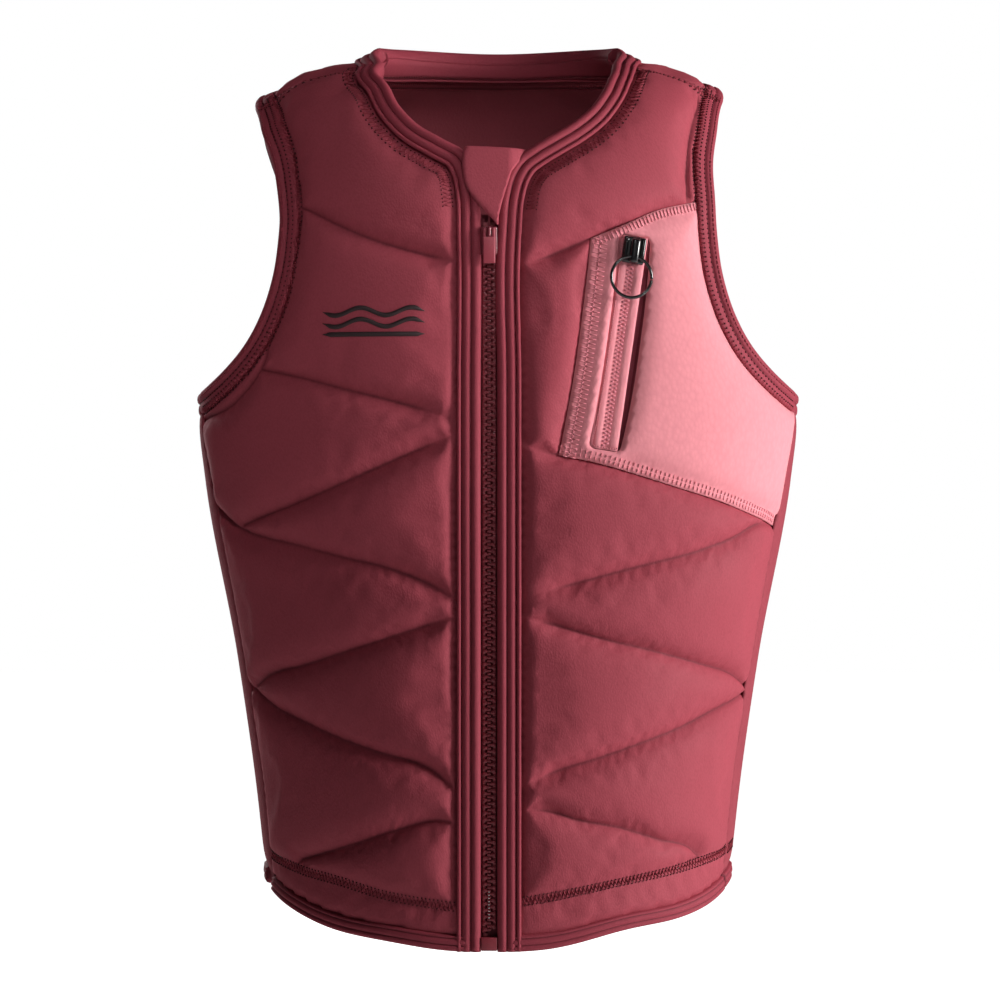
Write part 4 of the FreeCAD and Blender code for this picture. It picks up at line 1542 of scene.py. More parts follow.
def flat_patch(name: str, outline: Array, hole: Optional[Array], grid: float, thickness: float,
               rise_of: Callable[[Array], Array], finish: FabricFinish, side: Side = Side.LEFT,
               shade_of: Optional[Callable[[Array], Array]] = None) -> bpy.types.Object:
    """Make a thin patch of cloth that follows the torso surface.

    Args:
        name: Name of the piece.
        outline: Its flat outline.
        hole: Flat outline of a hole in it, if any.
        grid: Spacing of its points.
        thickness: Thickness of the cloth, inwards from its outer face.
        rise_of: Gives the outer face's rise at flat points.
        finish: Its finish.
        side: Right mirrors it.
        shade_of: Gives the shade at flat points, from 0 to 1.

    Returns:
        The closed patch.
    """
    rim = spaced(np.vstack([outline, outline[:1]]), min(grid, 2.4))[:-1]
    low, high = rim.min(0), rim.max(0)
    across, up = np.meshgrid(np.arange(low[0], high[0], grid), np.arange(low[1], high[1], grid))
    across[::2] += grid / 2
    points = np.column_stack([across.ravel(), up.ravel()])
    points = points[inside(rim, points)]
    points = points[distance_to(spaced(np.vstack([rim, rim[:1]]), 0.6), points) > grid * 0.55]
    edges, rings = [], [rim]
    if hole is not None:
        cut = spaced(np.vstack([hole, hole[:1]]), 1.2)[:-1]
        points = points[~inside(cut, points)]
        points = points[distance_to(cut, points) > grid * 0.55]
        edges = [(len(rim) + k, len(rim) + (k + 1) % len(cut)) for k in range(len(cut))]
        rings.append(cut)
    given = np.concatenate([*rings, points])
    result = delaunay_2d_cdt([Vector(p) for p in given], edges, [list(range(len(rim)))], 1, 1e-5)
    flat = np.array([tuple(v) for v in result[0]])
    faces = np.array([list(f) for f in result[2] if len(f) == 3])
    middle = flat[faces].mean(axis=1)
    keep = inside(rim, middle)
    if hole is not None:
        keep &= ~inside(rings[1], middle)
    faces = faces[keep]
    corners = [flat[faces[:, k]] for k in range(3)]
    turn = np.cross(corners[1] - corners[0], corners[2] - corners[0])
    faces[turn < 0] = faces[turn < 0][:, ::-1]
    used = np.unique(faces)
    number = np.zeros(len(flat), int)
    number[used] = np.arange(len(used))
    flat, faces = flat[used], number[faces]
    marks = shade_of(flat) if shade_of else np.zeros(len(flat))
    patch = make_mesh(name, FORM.lift(flat, rise_of(flat)), faces.tolist(), side, flat, marks)
    wall = patch.modifiers.new("wall", "SOLIDIFY")
    wall.thickness = thickness * METRES_PER_MM
    wall.offset = -1.0
    wall.use_even_offset = False
    apply_all(patch)
    patch.data.shade_smooth()
    dress(patch, finish)
    log.info("%s: %d faces", name, len(patch.data.polygons))
    return patch


@dataclass(frozen=True)
class ZipFrame:
    """The pocket zip's own axes: across, inwards and up the chain, in millimetres.

    Attributes:
        middle: Middle of the chain.
        across: Towards the wearer's left.
        inward: Into the vest.
        up: Up the chain.
    """

    middle: tuple[float, float, float] = (77.4, -108.25, 385.65)
    across: tuple[float, float, float] = (0.969, 0.198, -0.148)
    inward: tuple[float, float, float] = (-0.201, 0.979, -0.009)
    up: tuple[float, float, float] = (0.143, 0.039, 0.989)

    def place(self, local: Array) -> Array:
        """Row-frame points for points across, inward and up."""
        axes = np.array([self.across, self.inward, self.up])
        return np.array(self.middle) + np.asarray(local, float) @ axes

    def slot_line(self, half_width: float, half_length: float, corner: float = 4.0) -> Array:
        """Flat outline of a slot with round corners."""
        points = []
        for turn in range(4):
            sign_x = (1, -1, -1, 1)[turn]
            sign_z = (1, 1, -1, -1)[turn]
            for step in range(5):
                angle = math.pi / 2 * (turn + step / 4)
                points.append((sign_x * (half_width - corner) + corner * math.cos(angle), 0.0,
                               sign_z * (half_length - corner) + corner * math.sin(angle)))
        place = self.place(np.array(points))
        return FORM.from_front(place[:, [0, 2]])

    def bar(self, name: str, section: Sequence[tuple[float, float]], low: float, high: float,
            step: float = 6.0) -> bpy.types.Object:
        """Sweep a closed section straight up the chain.

        Args:
            name: Name of the piece.
            section: Across and inward of each point of the section.
            low: Where the sweep starts.
            high: Where it ends.
            step: Spacing of the rows.

        Returns:
            The closed bar.
        """
        rows = []
        for level in np.linspace(low, high, max(2, int((high - low) / step))):
            rows += [(across, inward, level) for across, inward in section]
        count = len(rows) // len(section)
        place = self.place(np.array(rows))
        uv = place[:, [0, 2]]
        piece = make_mesh(name, place, tube_faces(count, len(section)), uv=uv,
                          marks=np.zeros(len(place)))
        turn_outward(piece)
        return piece


@dataclass
class Pocket:
    """The pink chest pocket with its zip, slider and ring.

    Attributes:
        front: The front that it is sewn to.
        zip_frame: Axes of its zip.
        window_half_width: Half the width of the window in the cloth.
        window_half_length: Half its length.
        thickness: Thickness of the pink cloth.
        lip: Rise of the cloth at the window.
    """

    front: Front
    zip_frame: ZipFrame = ZipFrame()
    window_half_width: float = 10.4
    window_half_length: float = 69.0
    thickness: float = 1.7
    lip: float = 0.7

    def __post_init__(self) -> None:
        """Lay the outline and the window out flat."""
        self.edge = smooth_line(FORM.from_front(POCKET_EDGE), 2.0)
        self.top = smooth_line(FORM.from_front(POCKET_TOP), 2.0)
        self.foot = smooth_line(FORM.from_front(POCKET_FOOT), 2.0)
        arm = FORM.offset(self.front.armhole, 12.8)
        heights = FORM.surface(arm)[:, 2]
        arm = arm[(heights < 477.5) & (arm[:, 0] < self.front.side_seam[:, 0].max() - 10)]
        seam = self.front.side_seam
        heights = FORM.surface(seam)[:, 2]
        self.side = seam[(heights < FORM.surface(arm[-1:])[0, 2] - 3) & (heights > 266)]
        self.side[-1, 1] = self.foot[0, 1]
        self.top = self.top[self.top[:, 0] < arm[0, 0] - 1.5]
        self.arm = arm
        foot = self.foot[self.foot[:, 0] < self.side[-1, 0] - 1]
        self.outline = np.concatenate([self.edge[:-1], self.top, self.arm, self.side, foot[:-1]])
        self.window = self.zip_frame.slot_line(self.window_half_width, self.window_half_length)

    def _free(self, flat: Array) -> Array:
        """Distance from the flat sewn rims, 0 on them."""
        places = FORM.surface(flat)
        rims = ((self.edge, 11.5), (self.top, 6.0), (self.foot, 7.0), (self.arm, 1.0),
                (self.side, -2.0))
        free = [distance_to(FORM.surface(spaced(line, 1.0)), places) - wide for line, wide in rims]
        return np.clip(np.min(free, axis=0), 0, None)

    def _rise(self, flat: Array) -> Array:
        """Rise of the pink cloth."""
        free = self._free(flat)
        rise = -2.4 + 4.4 * (1 - np.exp(-free / 6)) + 1.4 * (1 - np.exp(-free / 30))
        rim = distance_to(spaced(np.vstack([self.window, self.window[:1]]), 1.0), flat)
        near = np.exp(-(rim / 6.0) ** 2)
        return rise * (1 - near) + (self.lip - 0.9 * np.exp(-(rim / 1.1) ** 2)) * near

    def _shade(self, flat: Array) -> Array:
        """Shade where the sewn rims meet the foam."""
        free = self._free(flat)
        return 0.12 * np.exp(-(free / 1.6) ** 2) * (free > 0)

    def build(self) -> None:
        """Make the pocket's pieces."""
        panel = flat_patch("pocket_cloth", self.outline, self.window, 3.0, self.thickness, self._rise,
                           PINK_NEOPRENE, shade_of=self._shade)
        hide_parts("pocket_panel")
        self._threads(panel)
        attach(panel, Side.LEFT)
        self._zip()
        self._slider()
        self._ring()

    def _threads(self, panel: bpy.types.Object) -> None:
        """Sew the pocket on."""
        threads = Threads("pocket_stitches", Side.LEFT, [panel], PINK_THREAD, radius=0.42)
        for aside in (3.2, 8.4):
            threads.sew(self.edge, aside, StitchPattern.LADDER, 4.4, 2.9)
        threads.sew(self.edge, 5.8, StitchPattern.ZIGZAG, 1.6, 2.9)
        threads.sew(self.top, 3.2, StitchPattern.LADDER, 5.0, 2.7)
        threads.sew(self.foot[4:], 2.4, StitchPattern.LADDER, 2.4, 3.0)
        threads.sew(self.foot[4:], 5.6, StitchPattern.LADDER, 2.0, 3.0)
        rim = np.vstack([self.window, self.window[:1]])[::-1]
        threads.sew(rim[3:-3], 1.7, StitchPattern.DASHES, 0.6, 1.7)
        attach(threads.build(), Side.LEFT)

    def _zip(self) -> None:
        """Make the welt, the tapes, the coil and the dark pocket mouth."""
        bar = self.zip_frame.bar
        half = self.window_half_length - 0.6
        # The welt wears the darker pink, painted shade of the band at the window's left.
        welt = bar("pocket_welt", ((-11.6, 2.4), (-9.9, 2.0), (-9.0, 1.1), (-7.4, 2.2),
                                   (-7.2, 3.2), (-11.6, 3.2)), -half, half)
        dress(welt, PINK_WELT_SHADE)
        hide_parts("pocket_zip_welt")
        tape = bar("pocket_tape", ((-8.2, 2.6), (-7.6, 1.1), (-6.4, 0.5), (-3.4, 0.2), (-2.6, 0.9),
                                   (2.6, 0.9), (3.4, 0.2), (7.2, 0.2), (8.4, 0.6), (8.9, 1.7),
                                   (8.0, 2.7), (-7.0, 3.0)), -half, half)
        dress(tape, PINK_NEOPRENE)
        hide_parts("pocket_zip_tapes")
        mouth = bar("pocket_mouth", ((-12.0, 3.4), (12.0, 3.4), (12.0, 4.4), (-12.0, 4.4)),
                    -half - 1.5, half + 1.5)
        dress(mouth, PINK_SHADOW)
        for piece in (welt, tape, mouth):
            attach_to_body(piece, "left_front")
        self._coil()

    def _coil(self) -> None:
        """Model one coil turn and repeat it up both sides of the chain."""
        pitch, count = 2.55, 52
        turns = []
        for sign in (-1, 1):
            bpy.ops.object.select_all(action="DESELECT")
            bpy.ops.mesh.primitive_cube_add(size=1.0)
            turn = bpy.context.active_object
            turn.scale = (2.0 * METRES_PER_MM, 1.3 * METRES_PER_MM, 1.35 * METRES_PER_MM)
            bpy.ops.object.transform_apply(location=False, rotation=False, scale=True)
            bpy.ops.object.mode_set(mode="EDIT")
            bpy.ops.mesh.select_all(action="SELECT")
            bpy.ops.mesh.bevel(offset=0.42 * METRES_PER_MM, segments=2, affect="EDGES")
            bpy.ops.object.mode_set(mode="OBJECT")
            repeat_upward(turn, count, pitch)
            start = -pitch * (count - 1) / 2 + sign * pitch / 4
            place = np.zeros(len(turn.data.vertices) * 3)
            turn.data.vertices.foreach_get("co", place)
            local = place.reshape(-1, 3) / METRES_PER_MM + np.array([sign * 1.25, 0.55, start])
            world = self.zip_frame.place(local) * METRES_PER_MM
            turn.data.vertices.foreach_set("co", world.ravel())
            turn.data.shade_smooth()
            turn.name = f"pocket_coil_{'left' if sign > 0 else 'right'}"
            turns.append(turn)
        for turn in turns:
            dress(turn, PINK_TEETH)
            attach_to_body(turn, "left_front")
            log.info("%s: %d faces", turn.name, len(turn.data.polygons))
        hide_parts("pocket_zip_teeth")

    def _to_world(self, piece: bpy.types.Object) -> None:
        """Move a piece from the zip's own axes, in metres, to its place."""
        axes = np.array([self.zip_frame.across, self.zip_frame.inward, self.zip_frame.up])
        turn = Matrix(axes.T.tolist()).to_4x4()
        turn.translation = Vector(self.zip_frame.middle) * METRES_PER_MM
        piece.data.transform(turn)

    def _slider(self) -> None:
        """Shape the slider's body and its raised saddle."""
        body = rounded_block("pocket_slider_body", (-7.4, -3.6, 50.8), (7.4, -0.3, 68.0), 2.6, 4)
        saddle = rounded_block("pocket_slider_saddle", (-2.9, -7.4, 50.9), (2.9, -3.0, 66.6), 1.9, 4)
        rails = [rounded_block(f"pocket_slider_rail_{word}", (low, -4.4, 52.6), (low + 2.2, -3.0, 66.4),
                               0.9, 3) for word, low in (("right", -6.6), ("left", 4.4))]
        join_pieces("pocket_slider_black", [body, saddle, *rails])
        slider = bpy.data.objects["pocket_slider_black"]
        self._to_world(slider)
        dress(slider, BLACK_ENAMEL)
        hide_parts("pocket_slider")
        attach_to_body(slider, "pocket_slider")

    def _ring(self) -> None:
        """Spin the split ring."""
        radius, wire, pivot_up = 13.1, 1.05, 55.1
        bpy.ops.object.select_all(action="DESELECT")
        bpy.ops.mesh.primitive_circle_add(vertices=12, radius=wire * METRES_PER_MM,
                                          location=(radius * METRES_PER_MM, 0, 0),
                                          rotation=(math.pi / 2, 0, 0))
        ring = bpy.context.active_object
        bpy.ops.object.transform_apply(location=True, rotation=True, scale=True)
        bpy.ops.object.mode_set(mode="EDIT")
        bpy.ops.mesh.select_all(action="SELECT")
        bpy.ops.mesh.spin(steps=96, angle=math.radians(357), center=(0, 0, 0), axis=(0, 0, 1))
        bpy.ops.mesh.select_all(action="DESELECT")
        bpy.ops.mesh.select_non_manifold()
        bpy.ops.mesh.edge_face_add()
        bpy.ops.mesh.select_all(action="SELECT")
        bpy.ops.mesh.normals_make_consistent(inside=False)
        bpy.ops.object.mode_set(mode="OBJECT")
        ring.name = "pocket_ring_black"
        stand = Matrix.Rotation(math.pi / 2, 4, "X")
        ring.data.transform(Matrix.Translation(Vector((0, -6.0, pivot_up - radius)) * METRES_PER_MM)
                            @ stand)
        ring.data.shade_smooth()
        self._to_world(ring)
        dress(ring, BLACK_ENAMEL)
        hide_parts("pocket_ring")
        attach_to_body(ring, "pocket_ring")
        log.info("%s: %d faces", ring.name, len(ring.data.polygons))


# ---------------------------------------------------------------------------
# Hard pieces
# ---------------------------------------------------------------------------

def rounded_block(name: str, low: Sequence[float], high: Sequence[float], bevel: float,
                  segments: int) -> bpy.types.Object:
    """A block with rounded edges, between two corners in millimetres.

    Args:
        name: Name of the piece.
        low: Lowest corner.
        high: Highest corner.
        bevel: Radius of its edges, at most just under half its thinnest side.
        segments: Steps round each edge.

    Returns:
        The block, placed in its mesh.
    """
    size = [b - a for a, b in zip(low, high)]
    bpy.ops.object.select_all(action="DESELECT")
    bpy.ops.mesh.primitive_cube_add(size=1.0)
    block = bpy.context.active_object
    block.name = name
    block.scale = [value * METRES_PER_MM for value in size]
    block.location = [(a + b) / 2 * METRES_PER_MM for a, b in zip(low, high)]
    bpy.ops.object.transform_apply(location=True, rotation=False, scale=True)
    bpy.ops.object.mode_set(mode="EDIT")
    bpy.ops.mesh.select_all(action="SELECT")
    radius = min(bevel, min(size) * 0.47) * METRES_PER_MM
    bpy.ops.mesh.bevel(offset=radius, segments=segments, affect="EDGES")
    bpy.ops.object.mode_set(mode="OBJECT")
    block.data.shade_smooth()
    block.select_set(False)
    return block


def join_pieces(name: str, pieces: Sequence[bpy.types.Object]) -> bpy.types.Object:
    """Join pieces that are one moulding.

    Args:
        name: Name of the joined piece.
        pieces: The pieces; the first one stays.

    Returns:
        The joined piece.
    """
    bpy.ops.object.select_all(action="DESELECT")
    for piece in pieces:
        piece.select_set(True)
    bpy.context.view_layer.objects.active = pieces[0]
    bpy.ops.object.join()
    pieces[0].name = name
    pieces[0].select_set(False)
    log.info("%s: %d faces", name, len(pieces[0].data.polygons))
    return pieces[0]


@dataclass
class MainZip:
    """The front zip: teeth, stops, box, pin, slider and pull.

    Attributes:
        pitch: Distance between teeth of one side.
        count: Teeth on each side.
        first: Height of the first tooth.
        front: Depth place of the teeth's outer face.
        back: Depth place of their inner face.
    """

    pitch: float = 4.1
    count: int = 108
    first: float = 14.0
    front: float = -112.6
    back: float = -109.8

    def build(self) -> None:
        """Make the zip's pieces."""
        for side in Side:
            self._teeth(side)
        for name in ("left_zip_tape", "right_zip_tape"):
            self._dress_node(name, RED_TAPE)
        for name in ("left_zip_top_stop", "right_zip_top_stop", "zip_insert_pin"):
            self._dress_node(name, RED_TEETH)
        self._box()
        self._slider()
        self._pull()

    @staticmethod
    def _dress_node(name: str, finish: FabricFinish | HardFinish) -> None:
        """Give a CAD node its finish."""
        node = frame["nodes"][name]
        node.data.materials.clear()
        node.data.materials.append(finish.material())

    def _teeth(self, side: Side) -> None:
        """Model one tooth on its cord and repeat it up one side."""
        sign = side.value
        head = rounded_block("tooth", (CHAIN_X - 1.35, self.front, -0.85),
                             (CHAIN_X + 1.35, self.back, 0.85), 0.45, 2)
        root_low, root_high = sorted((CHAIN_X + sign * 0.9, CHAIN_X + sign * 3.9))
        root = rounded_block("root", (root_low, self.front + 0.2, -1.15),
                             (root_high, self.back, 1.15), 0.5, 2)
        cord_low, cord_high = sorted((CHAIN_X + sign * 2.2, CHAIN_X + sign * 4.3))
        cord = rounded_block("cord", (cord_low, self.front + 0.7, -self.pitch / 2 - 0.1),
                             (cord_high, self.back, self.pitch / 2 + 0.1), 0.5, 2)
        teeth = join_pieces(f"{side.name.lower()}_teeth_row", [head, root, cord])
        start = self.first + (self.pitch / 2 if side is Side.LEFT else 0)
        teeth.data.transform(Matrix.Translation((0, 0, start * METRES_PER_MM)))
        repeat_upward(teeth, self.count, self.pitch)
        dress(teeth, RED_TEETH)
        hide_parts(f"{side.name.lower()}_zip_teeth")
        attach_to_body(teeth, side.body)

    def _box(self) -> None:
        """Shape the box at the foot of the zip."""
        face = rounded_block("zip_box_face", (CHAIN_X - 5.2, -115.2, 0.7), (CHAIN_X + 5.2, -113.3, 9.4),
                             0.8, 3)
        back = rounded_block("zip_box_back", (CHAIN_X - 5.2, -109.0, 0.7), (CHAIN_X + 5.2, -107.4, 9.4),
                             0.6, 3)
        wall = rounded_block("zip_box_wall", (CHAIN_X + 2.6, -114.6, 0.9), (CHAIN_X + 5.2, -108.0, 9.2),
                             0.6, 3)
        plate = rounded_block("zip_box_plate", (CHAIN_X - 4.6, -109.3, 8.4), (CHAIN_X + 4.6, -108.5, 19.0),
                              0.3, 2)
        box = join_pieces("zip_box_red", [face, back, wall, plate])
        dress(box, RED_TEETH)
        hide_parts("zip_retainer_box")
        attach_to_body(box, "left_front")

    def _slider(self) -> None:
        """Shape the slider: two wings, a crown and a lug."""
        wing = rounded_block("slider_wing", (CHAIN_X - 5.3, -115.6, 441), (CHAIN_X + 5.3, -113.4, 459),
                             1.0, 4)
        crown = rounded_block("slider_crown", (CHAIN_X - 3.2, -117.0, 443), (CHAIN_X + 3.2, -115.0, 457),
                              0.9, 4)
        lug = rounded_block("slider_lug", (CHAIN_X - 1.2, -119.4, 452.4), (CHAIN_X + 1.2, -115.4, 458.8),
                            1.0, 4)
        back = rounded_block("slider_back", (CHAIN_X - 5.3, -108.1, 441), (CHAIN_X + 5.3, -106.7, 459),
                             0.6, 3)
        slider = join_pieces("main_slider_red", [wing, crown, lug, back])
        dress(slider, RED_ENAMEL)
        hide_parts("main_slider")
        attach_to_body(slider, "main_slider")

    def _pull(self) -> None:
        """Shape the pull: a plate with a sunk field and a bar across its eye."""
        low, high = (CHAIN_X - 4.0, -118.7, 435.5), (CHAIN_X + 4.0, -117.0, 452.4)
        plate = rounded_block("pull_plate", low, high, 0.8, 4)
        bpy.ops.object.select_all(action="DESELECT")
        bpy.context.view_layer.objects.active = plate
        plate.select_set(True)
        for polygon in plate.data.polygons:
            polygon.select = polygon.normal.y < -0.99 and polygon.area > 2e-5
        bpy.ops.object.mode_set(mode="EDIT")
        bpy.ops.mesh.inset(thickness=0.9 * METRES_PER_MM)
        bpy.ops.mesh.extrude_region_move(
            TRANSFORM_OT_translate={"value": (0, 0.45 * METRES_PER_MM, 0)})
        bpy.ops.object.mode_set(mode="OBJECT")
        arms = [rounded_block(f"pull_arm_{word}", (CHAIN_X + at - 1.0, -118.5, 451),
                              (CHAIN_X + at + 1.0, -117.0, 458.2), 0.6, 3)
                for word, at in (("right", -2.9), ("left", 2.9))]
        bar = rounded_block("pull_bar", (CHAIN_X - 3.8, -118.3, 456.4), (CHAIN_X + 3.8, -117.0, 458.0),
                            0.6, 3)
        pull = join_pieces("main_pull_red", [plate, *arms, bar])
        dress(pull, RED_PULL)
        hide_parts("main_pull")
        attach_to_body(pull, "main_pull")


@dataclass
class ChestMark:
    """A plain printed mark on the right front: two waves over a bar.

    Attributes:
        left: Across place of its outer end, on the right front.
        width: Its width.
        foot: Height of its lowest line.
        step: Distance between its lines.
        weight: Half the thickness of a line.
    """

    front: Front
    left: float = 46.0
    width: float = 64.0
    foot: float = 391.0
    step: float = 7.2
    weight: float = 1.5

    def build(self) -> None:
        """Print the mark on the quilt."""
        ground = Threads("chest_mark_ground", Side.RIGHT, [self.front.quilt])
        points, faces = [], []
        for row, sway in enumerate((0.0, 2.4, 2.4)):
            count = 64
            along = np.linspace(0, 1, count)
            height = self.foot + row * self.step + sway * np.sin(along * 4 * math.pi)
            taper = self.weight * np.clip(np.minimum(along, 1 - along) * 14, 0.15, 1)
            across = self.left + self.width * along
            low = ground.laid(FORM.from_front(np.column_stack([across, height - taper])))
            high = ground.laid(FORM.from_front(np.column_stack([across, height + taper])))
            start = len(points)
            for below, above in zip(low, high):
                points += [below, above]
            faces += [[start + 2 * k, start + 2 * k + 2, start + 2 * k + 3, start + 2 * k + 1]
                      for k in range(count - 1)]
        mark = make_mesh("chest_mark", np.array(points), faces, Side.RIGHT)
        wall = mark.modifiers.new("film", "SOLIDIFY")
        wall.thickness = 0.3 * METRES_PER_MM
        wall.offset = 0.0
        apply_all(mark)
        dress(mark, MARK_PRINT)
        attach(mark, Side.RIGHT)
        log.info("chest_mark: %d faces", len(mark.data.polygons))


@dataclass
class GarageFlap:
    """The flap over the top of the zip; its root is sewn under the left binding.

    Attributes:
        rise: Rise of its outer face.
        thickness: Thickness of the doubled cloth.
        fold: Points before and after its fold line, in metres; not used.
    """

    rise: float = 3.3
    thickness: float = 1.9
    fold: tuple[tuple[float, float, float], ...] = ((0.0052, -0.114, 0.4837), (0.0012, -0.114, 0.4843))

    def build(self) -> None:
        """Make the flap as one cloth."""
        top = ((19.0, 508.9), (6.9, 508.4), (-6, 509.2), (-20.9, 509.7))
        free_edge = ((-20.9, 509.7), (-22.6, 502), (-22.3, 494), (-20.9, 486), (-16.2, 477.6),
                     (-8.8, 469.2), (-2.0, 461.6), (-0.4, 459.4))
        sewn_edge = ((-0.4, 459.4), (0.9, 467), (2.6, 474), (5.0, 482), (8.6, 493), (14.5, 502),
                     (20.5, 508), (19.0, 508.9))
        free_line = smooth_line(FORM.from_front(free_edge), 1.2)
        outline = np.concatenate([spaced(FORM.from_front(top), 1.2)[:-1], free_line[:-1],
                                  spaced(FORM.from_front(sewn_edge), 1.2)[:-1]])
        flap = flat_patch("garage_flap_cloth", outline, None, 1.5, self.thickness,
                          lambda flat: self._height(flat, free_line), LIT_FLAP_CLOTH)
        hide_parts("garage_flap")
        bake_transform(flap)

    def _height(self, flat: Array, free_line: Array) -> Array:
        """Rise of the cloth: rolled at its free edge, and diving under the binding."""
        rim = distance_to(spaced(free_line, 0.6), flat)
        across = FORM.surface(flat)[:, 0]
        dive = 4.6 * np.clip((across - 7.0) / 11.0, 0, 1) ** 1.3
        return self.rise - 0.8 * np.exp(-rim / 0.9) - dive


# ---------------------------------------------------------------------------
# Studio
# ---------------------------------------------------------------------------

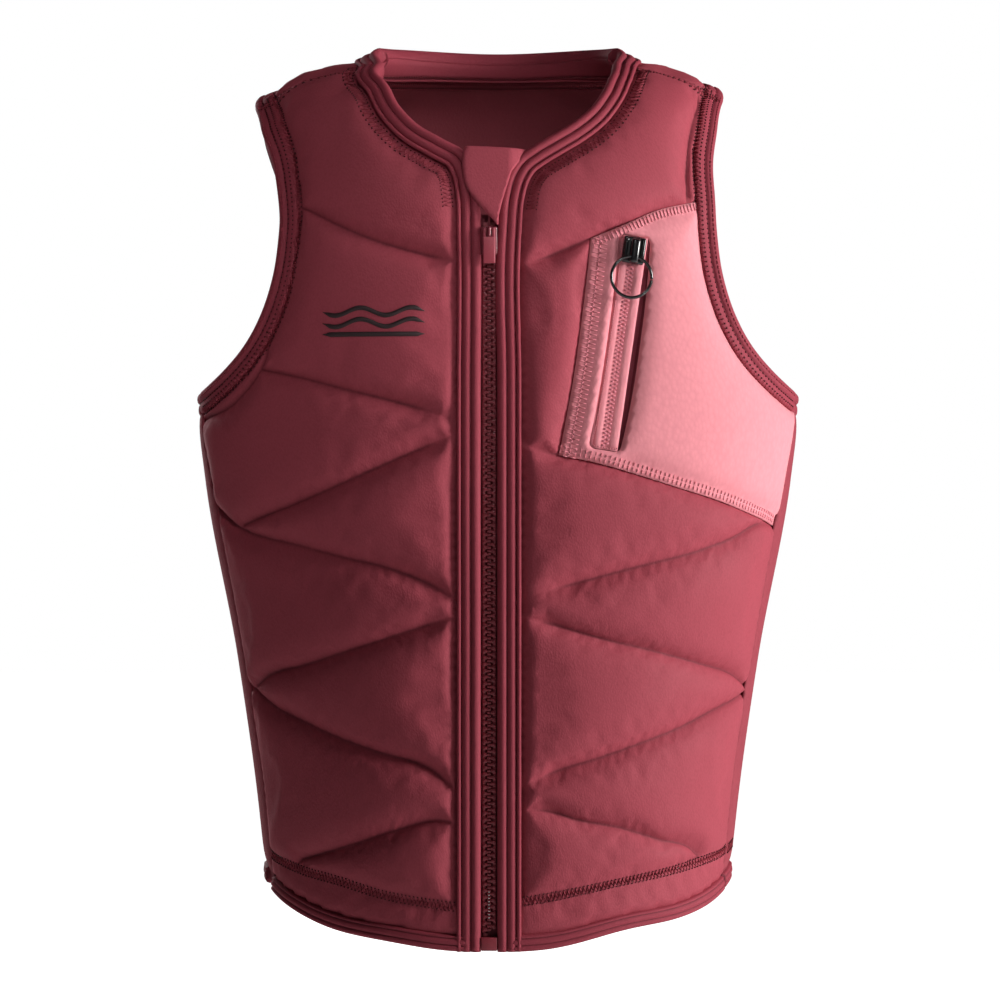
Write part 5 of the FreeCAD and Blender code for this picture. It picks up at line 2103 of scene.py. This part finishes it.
@dataclass(frozen=True)
class Studio:
    """Camera, lamps, a pale floor and a pale surround.

    Attributes:
        distance: From the camera to the body axis.
        lens: Focal length in millimetres on a 36 mm frame.
        eye: Height of the camera.
        floor: Height of the floor sheet.
        reach: How far the floor sheet runs each way.
    """

    distance: float = 2.2
    lens: float = 118.7
    eye: float = 0.286
    floor: float = -0.3
    reach: float = 9.0

    def build(self) -> None:
        """Set up everything that isn't the vest."""
        self._camera()
        self._sheet()
        self._lamp("key", (2.08, -0.62, 0.66), 0.7, 60.0, (1.0, 0.985, 0.97))
        self._lamp("front", (0.6, -2.4, 0.9), 1.0, 0.8, (1.0, 1.0, 1.0))
        self._lamp("behind", (-1.1, 2.3, 0.9), 1.2, 26.0, (1.0, 1.0, 1.0))
        self._spot("chest", (0.1, -1.5, 1.25), (-0.135, -0.08, 0.535), 12.5, 105.0)
        self._spot("flap", (0.9, -1.1, 0.9), (-0.005, -0.11, 0.49), 4.0, 16.0)
        world = bpy.context.scene.world or bpy.data.worlds.new("studio")
        bpy.context.scene.world = world
        world.use_nodes = True
        background = world.node_tree.nodes["Background"]
        background.inputs["Color"].default_value = (1.0, 1.0, 1.0, 1)
        self._glow(world.node_tree, background.inputs["Strength"], 0.02)
        bpy.context.scene.view_settings.view_transform = "Standard"

    def _camera(self) -> None:
        """Add the camera."""
        data = bpy.data.cameras.new("camera")
        data.lens = self.lens
        data.sensor_width = 36.0
        camera = bpy.data.objects.new("camera", data)
        camera.location = (0.00133, -self.distance, self.eye)
        camera.rotation_euler = (math.pi / 2, 0.0, 0.0)
        bpy.context.scene.collection.objects.link(camera)
        bpy.context.scene.camera = camera

    def _sheet(self) -> None:
        """Add the flat floor sheet."""
        far, low = self.reach / METRES_PER_MM, self.floor / METRES_PER_MM
        corners = np.array([(-far, -far, low), (far, -far, low), (far, far, low), (-far, far, low)])
        sheet = make_mesh("floor_sheet", corners, [[0, 1, 2, 3]])
        paper = bpy.data.materials.new("pale_paper")
        paper.use_nodes = True
        shader = paper.node_tree.nodes["Principled BSDF"]
        shader.inputs["Base Color"].default_value = (0.94, 0.94, 0.94, 1)
        shader.inputs["Roughness"].default_value = 0.9
        shader.inputs["Emission Color"].default_value = (1.0, 1.0, 1.0, 1)
        self._glow(paper.node_tree, shader.inputs["Emission Strength"], 0.02)
        sheet.data.materials.append(paper)

    @staticmethod
    def _glow(tree: bpy.types.NodeTree, strength: bpy.types.NodeSocket, dim: float) -> None:
        """Make a surround look white while it lights the vest only a little.

        Args:
            tree: The node tree to work in.
            strength: The strength socket to feed.
            dim: The strength that the vest is lit with.
        """
        path = tree.nodes.new("ShaderNodeLightPath")
        glow = add_node(tree, "MapRange", {"Value": path.outputs["Is Camera Ray"], "To Min": dim,
                                           "To Max": 1.0})
        tree.links.new(glow.outputs["Result"], strength)

    def _lamp(self, name: str, place: tuple[float, float, float], size: float, power: float,
              colour: Colour) -> None:
        """Add a soft lamp that points at the vest's middle.

        Args:
            name: Name of the lamp.
            place: Where it stands, in metres.
            size: Edge of its square face.
            power: Its power in watts.
            colour: Its colour.
        """
        data = bpy.data.lights.new(name, "AREA")
        data.size, data.energy, data.color = size, power, colour
        lamp = bpy.data.objects.new(name, data)
        lamp.location = place
        aim = Vector((0.0, 0.0, 0.3)) - Vector(place)
        lamp.rotation_euler = aim.to_track_quat("-Z", "Y").to_euler()
        bpy.context.scene.collection.objects.link(lamp)

    @staticmethod
    def _spot(name: str, place: tuple[float, float, float], target: tuple[float, float, float],
              cone: float, power: float) -> None:
        """Add a soft-edged spot.

        Args:
            name: Name of the lamp.
            place: Where it stands, in metres.
            target: What it points at, in metres.
            cone: Full angle of its cone in degrees.
            power: Its power in watts.
        """
        data = bpy.data.lights.new(name, "SPOT")
        data.energy, data.spot_size, data.spot_blend = power, math.radians(cone), 1.0
        data.shadow_soft_size = 0.25
        lamp = bpy.data.objects.new(name, data)
        lamp.location = place
        aim = Vector(target) - Vector(place)
        lamp.rotation_euler = aim.to_track_quat("-Z", "Y").to_euler()
        bpy.context.scene.collection.objects.link(lamp)


# ---------------------------------------------------------------------------
# The whole vest
# ---------------------------------------------------------------------------

def eased(value: Array, start: float, end: float) -> Array:
    """Rise smoothly from 0 at start to 1 at end."""
    part = np.clip((value - start) / (end - start), 0, 1)
    return part * part * (3 - 2 * part)


def settle(pieces: Sequence[bpy.types.Object]) -> None:
    """Let the finished cloth hang: the right armhole flares, the shoulders and the hem ease.

    Args:
        pieces: The finished pieces, which all stand at the origin.
    """
    armhole_flare, shoulder_drop, corner_drop = 11.5, 2.4, 5.6
    left_hem_sway, right_hem_sway = 6.6, 1.5
    for piece in pieces:
        place = np.zeros(len(piece.data.vertices) * 3)
        piece.data.vertices.foreach_get("co", place)
        across, depth, height = place.reshape(-1, 3).T / METRES_PER_MM
        flare = armhole_flare * eased(height, 462, 534) * eased(-across, 100, 146)
        outer = (shoulder_drop * eased(np.abs(across), 82, 112) * eased(height, 534, 556)
                 + corner_drop * eased(flare - across, 124, 153) * eased(height, 515, 552))
        foot = eased(-depth, 12, 50) * (1 - eased(height, 4, 62))
        sway = np.where(across > 0, left_hem_sway * np.exp(-((across - 84) / 40) ** 2),
                        right_hem_sway * np.exp(-((across + 70) / 30) ** 2))
        moved = np.column_stack([across - flare, depth, height - outer + sway * foot])
        piece.data.vertices.foreach_set("co", (moved * METRES_PER_MM).ravel())
        piece.data.update()


def main() -> None:
    """Dress the whole vest and set up the studio."""
    logging.basicConfig(level=logging.INFO, format="%(name)s: %(message)s")
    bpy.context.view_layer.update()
    carried = set(bpy.data.objects)
    right = Front(RIGHT_PATTERN)
    right.build()
    ChestMark(right).build()
    left = Front(LEFT_PATTERN)
    pocket = Pocket(left)
    left.build(pocket.outline, pocket.window)
    pocket.build()
    Back().build()
    MainZip().build()
    GarageFlap().build()
    settle([piece for piece in bpy.data.objects if piece.type == "MESH" and piece not in carried])
    Studio().build()


if __name__ == "__main__":
    main()
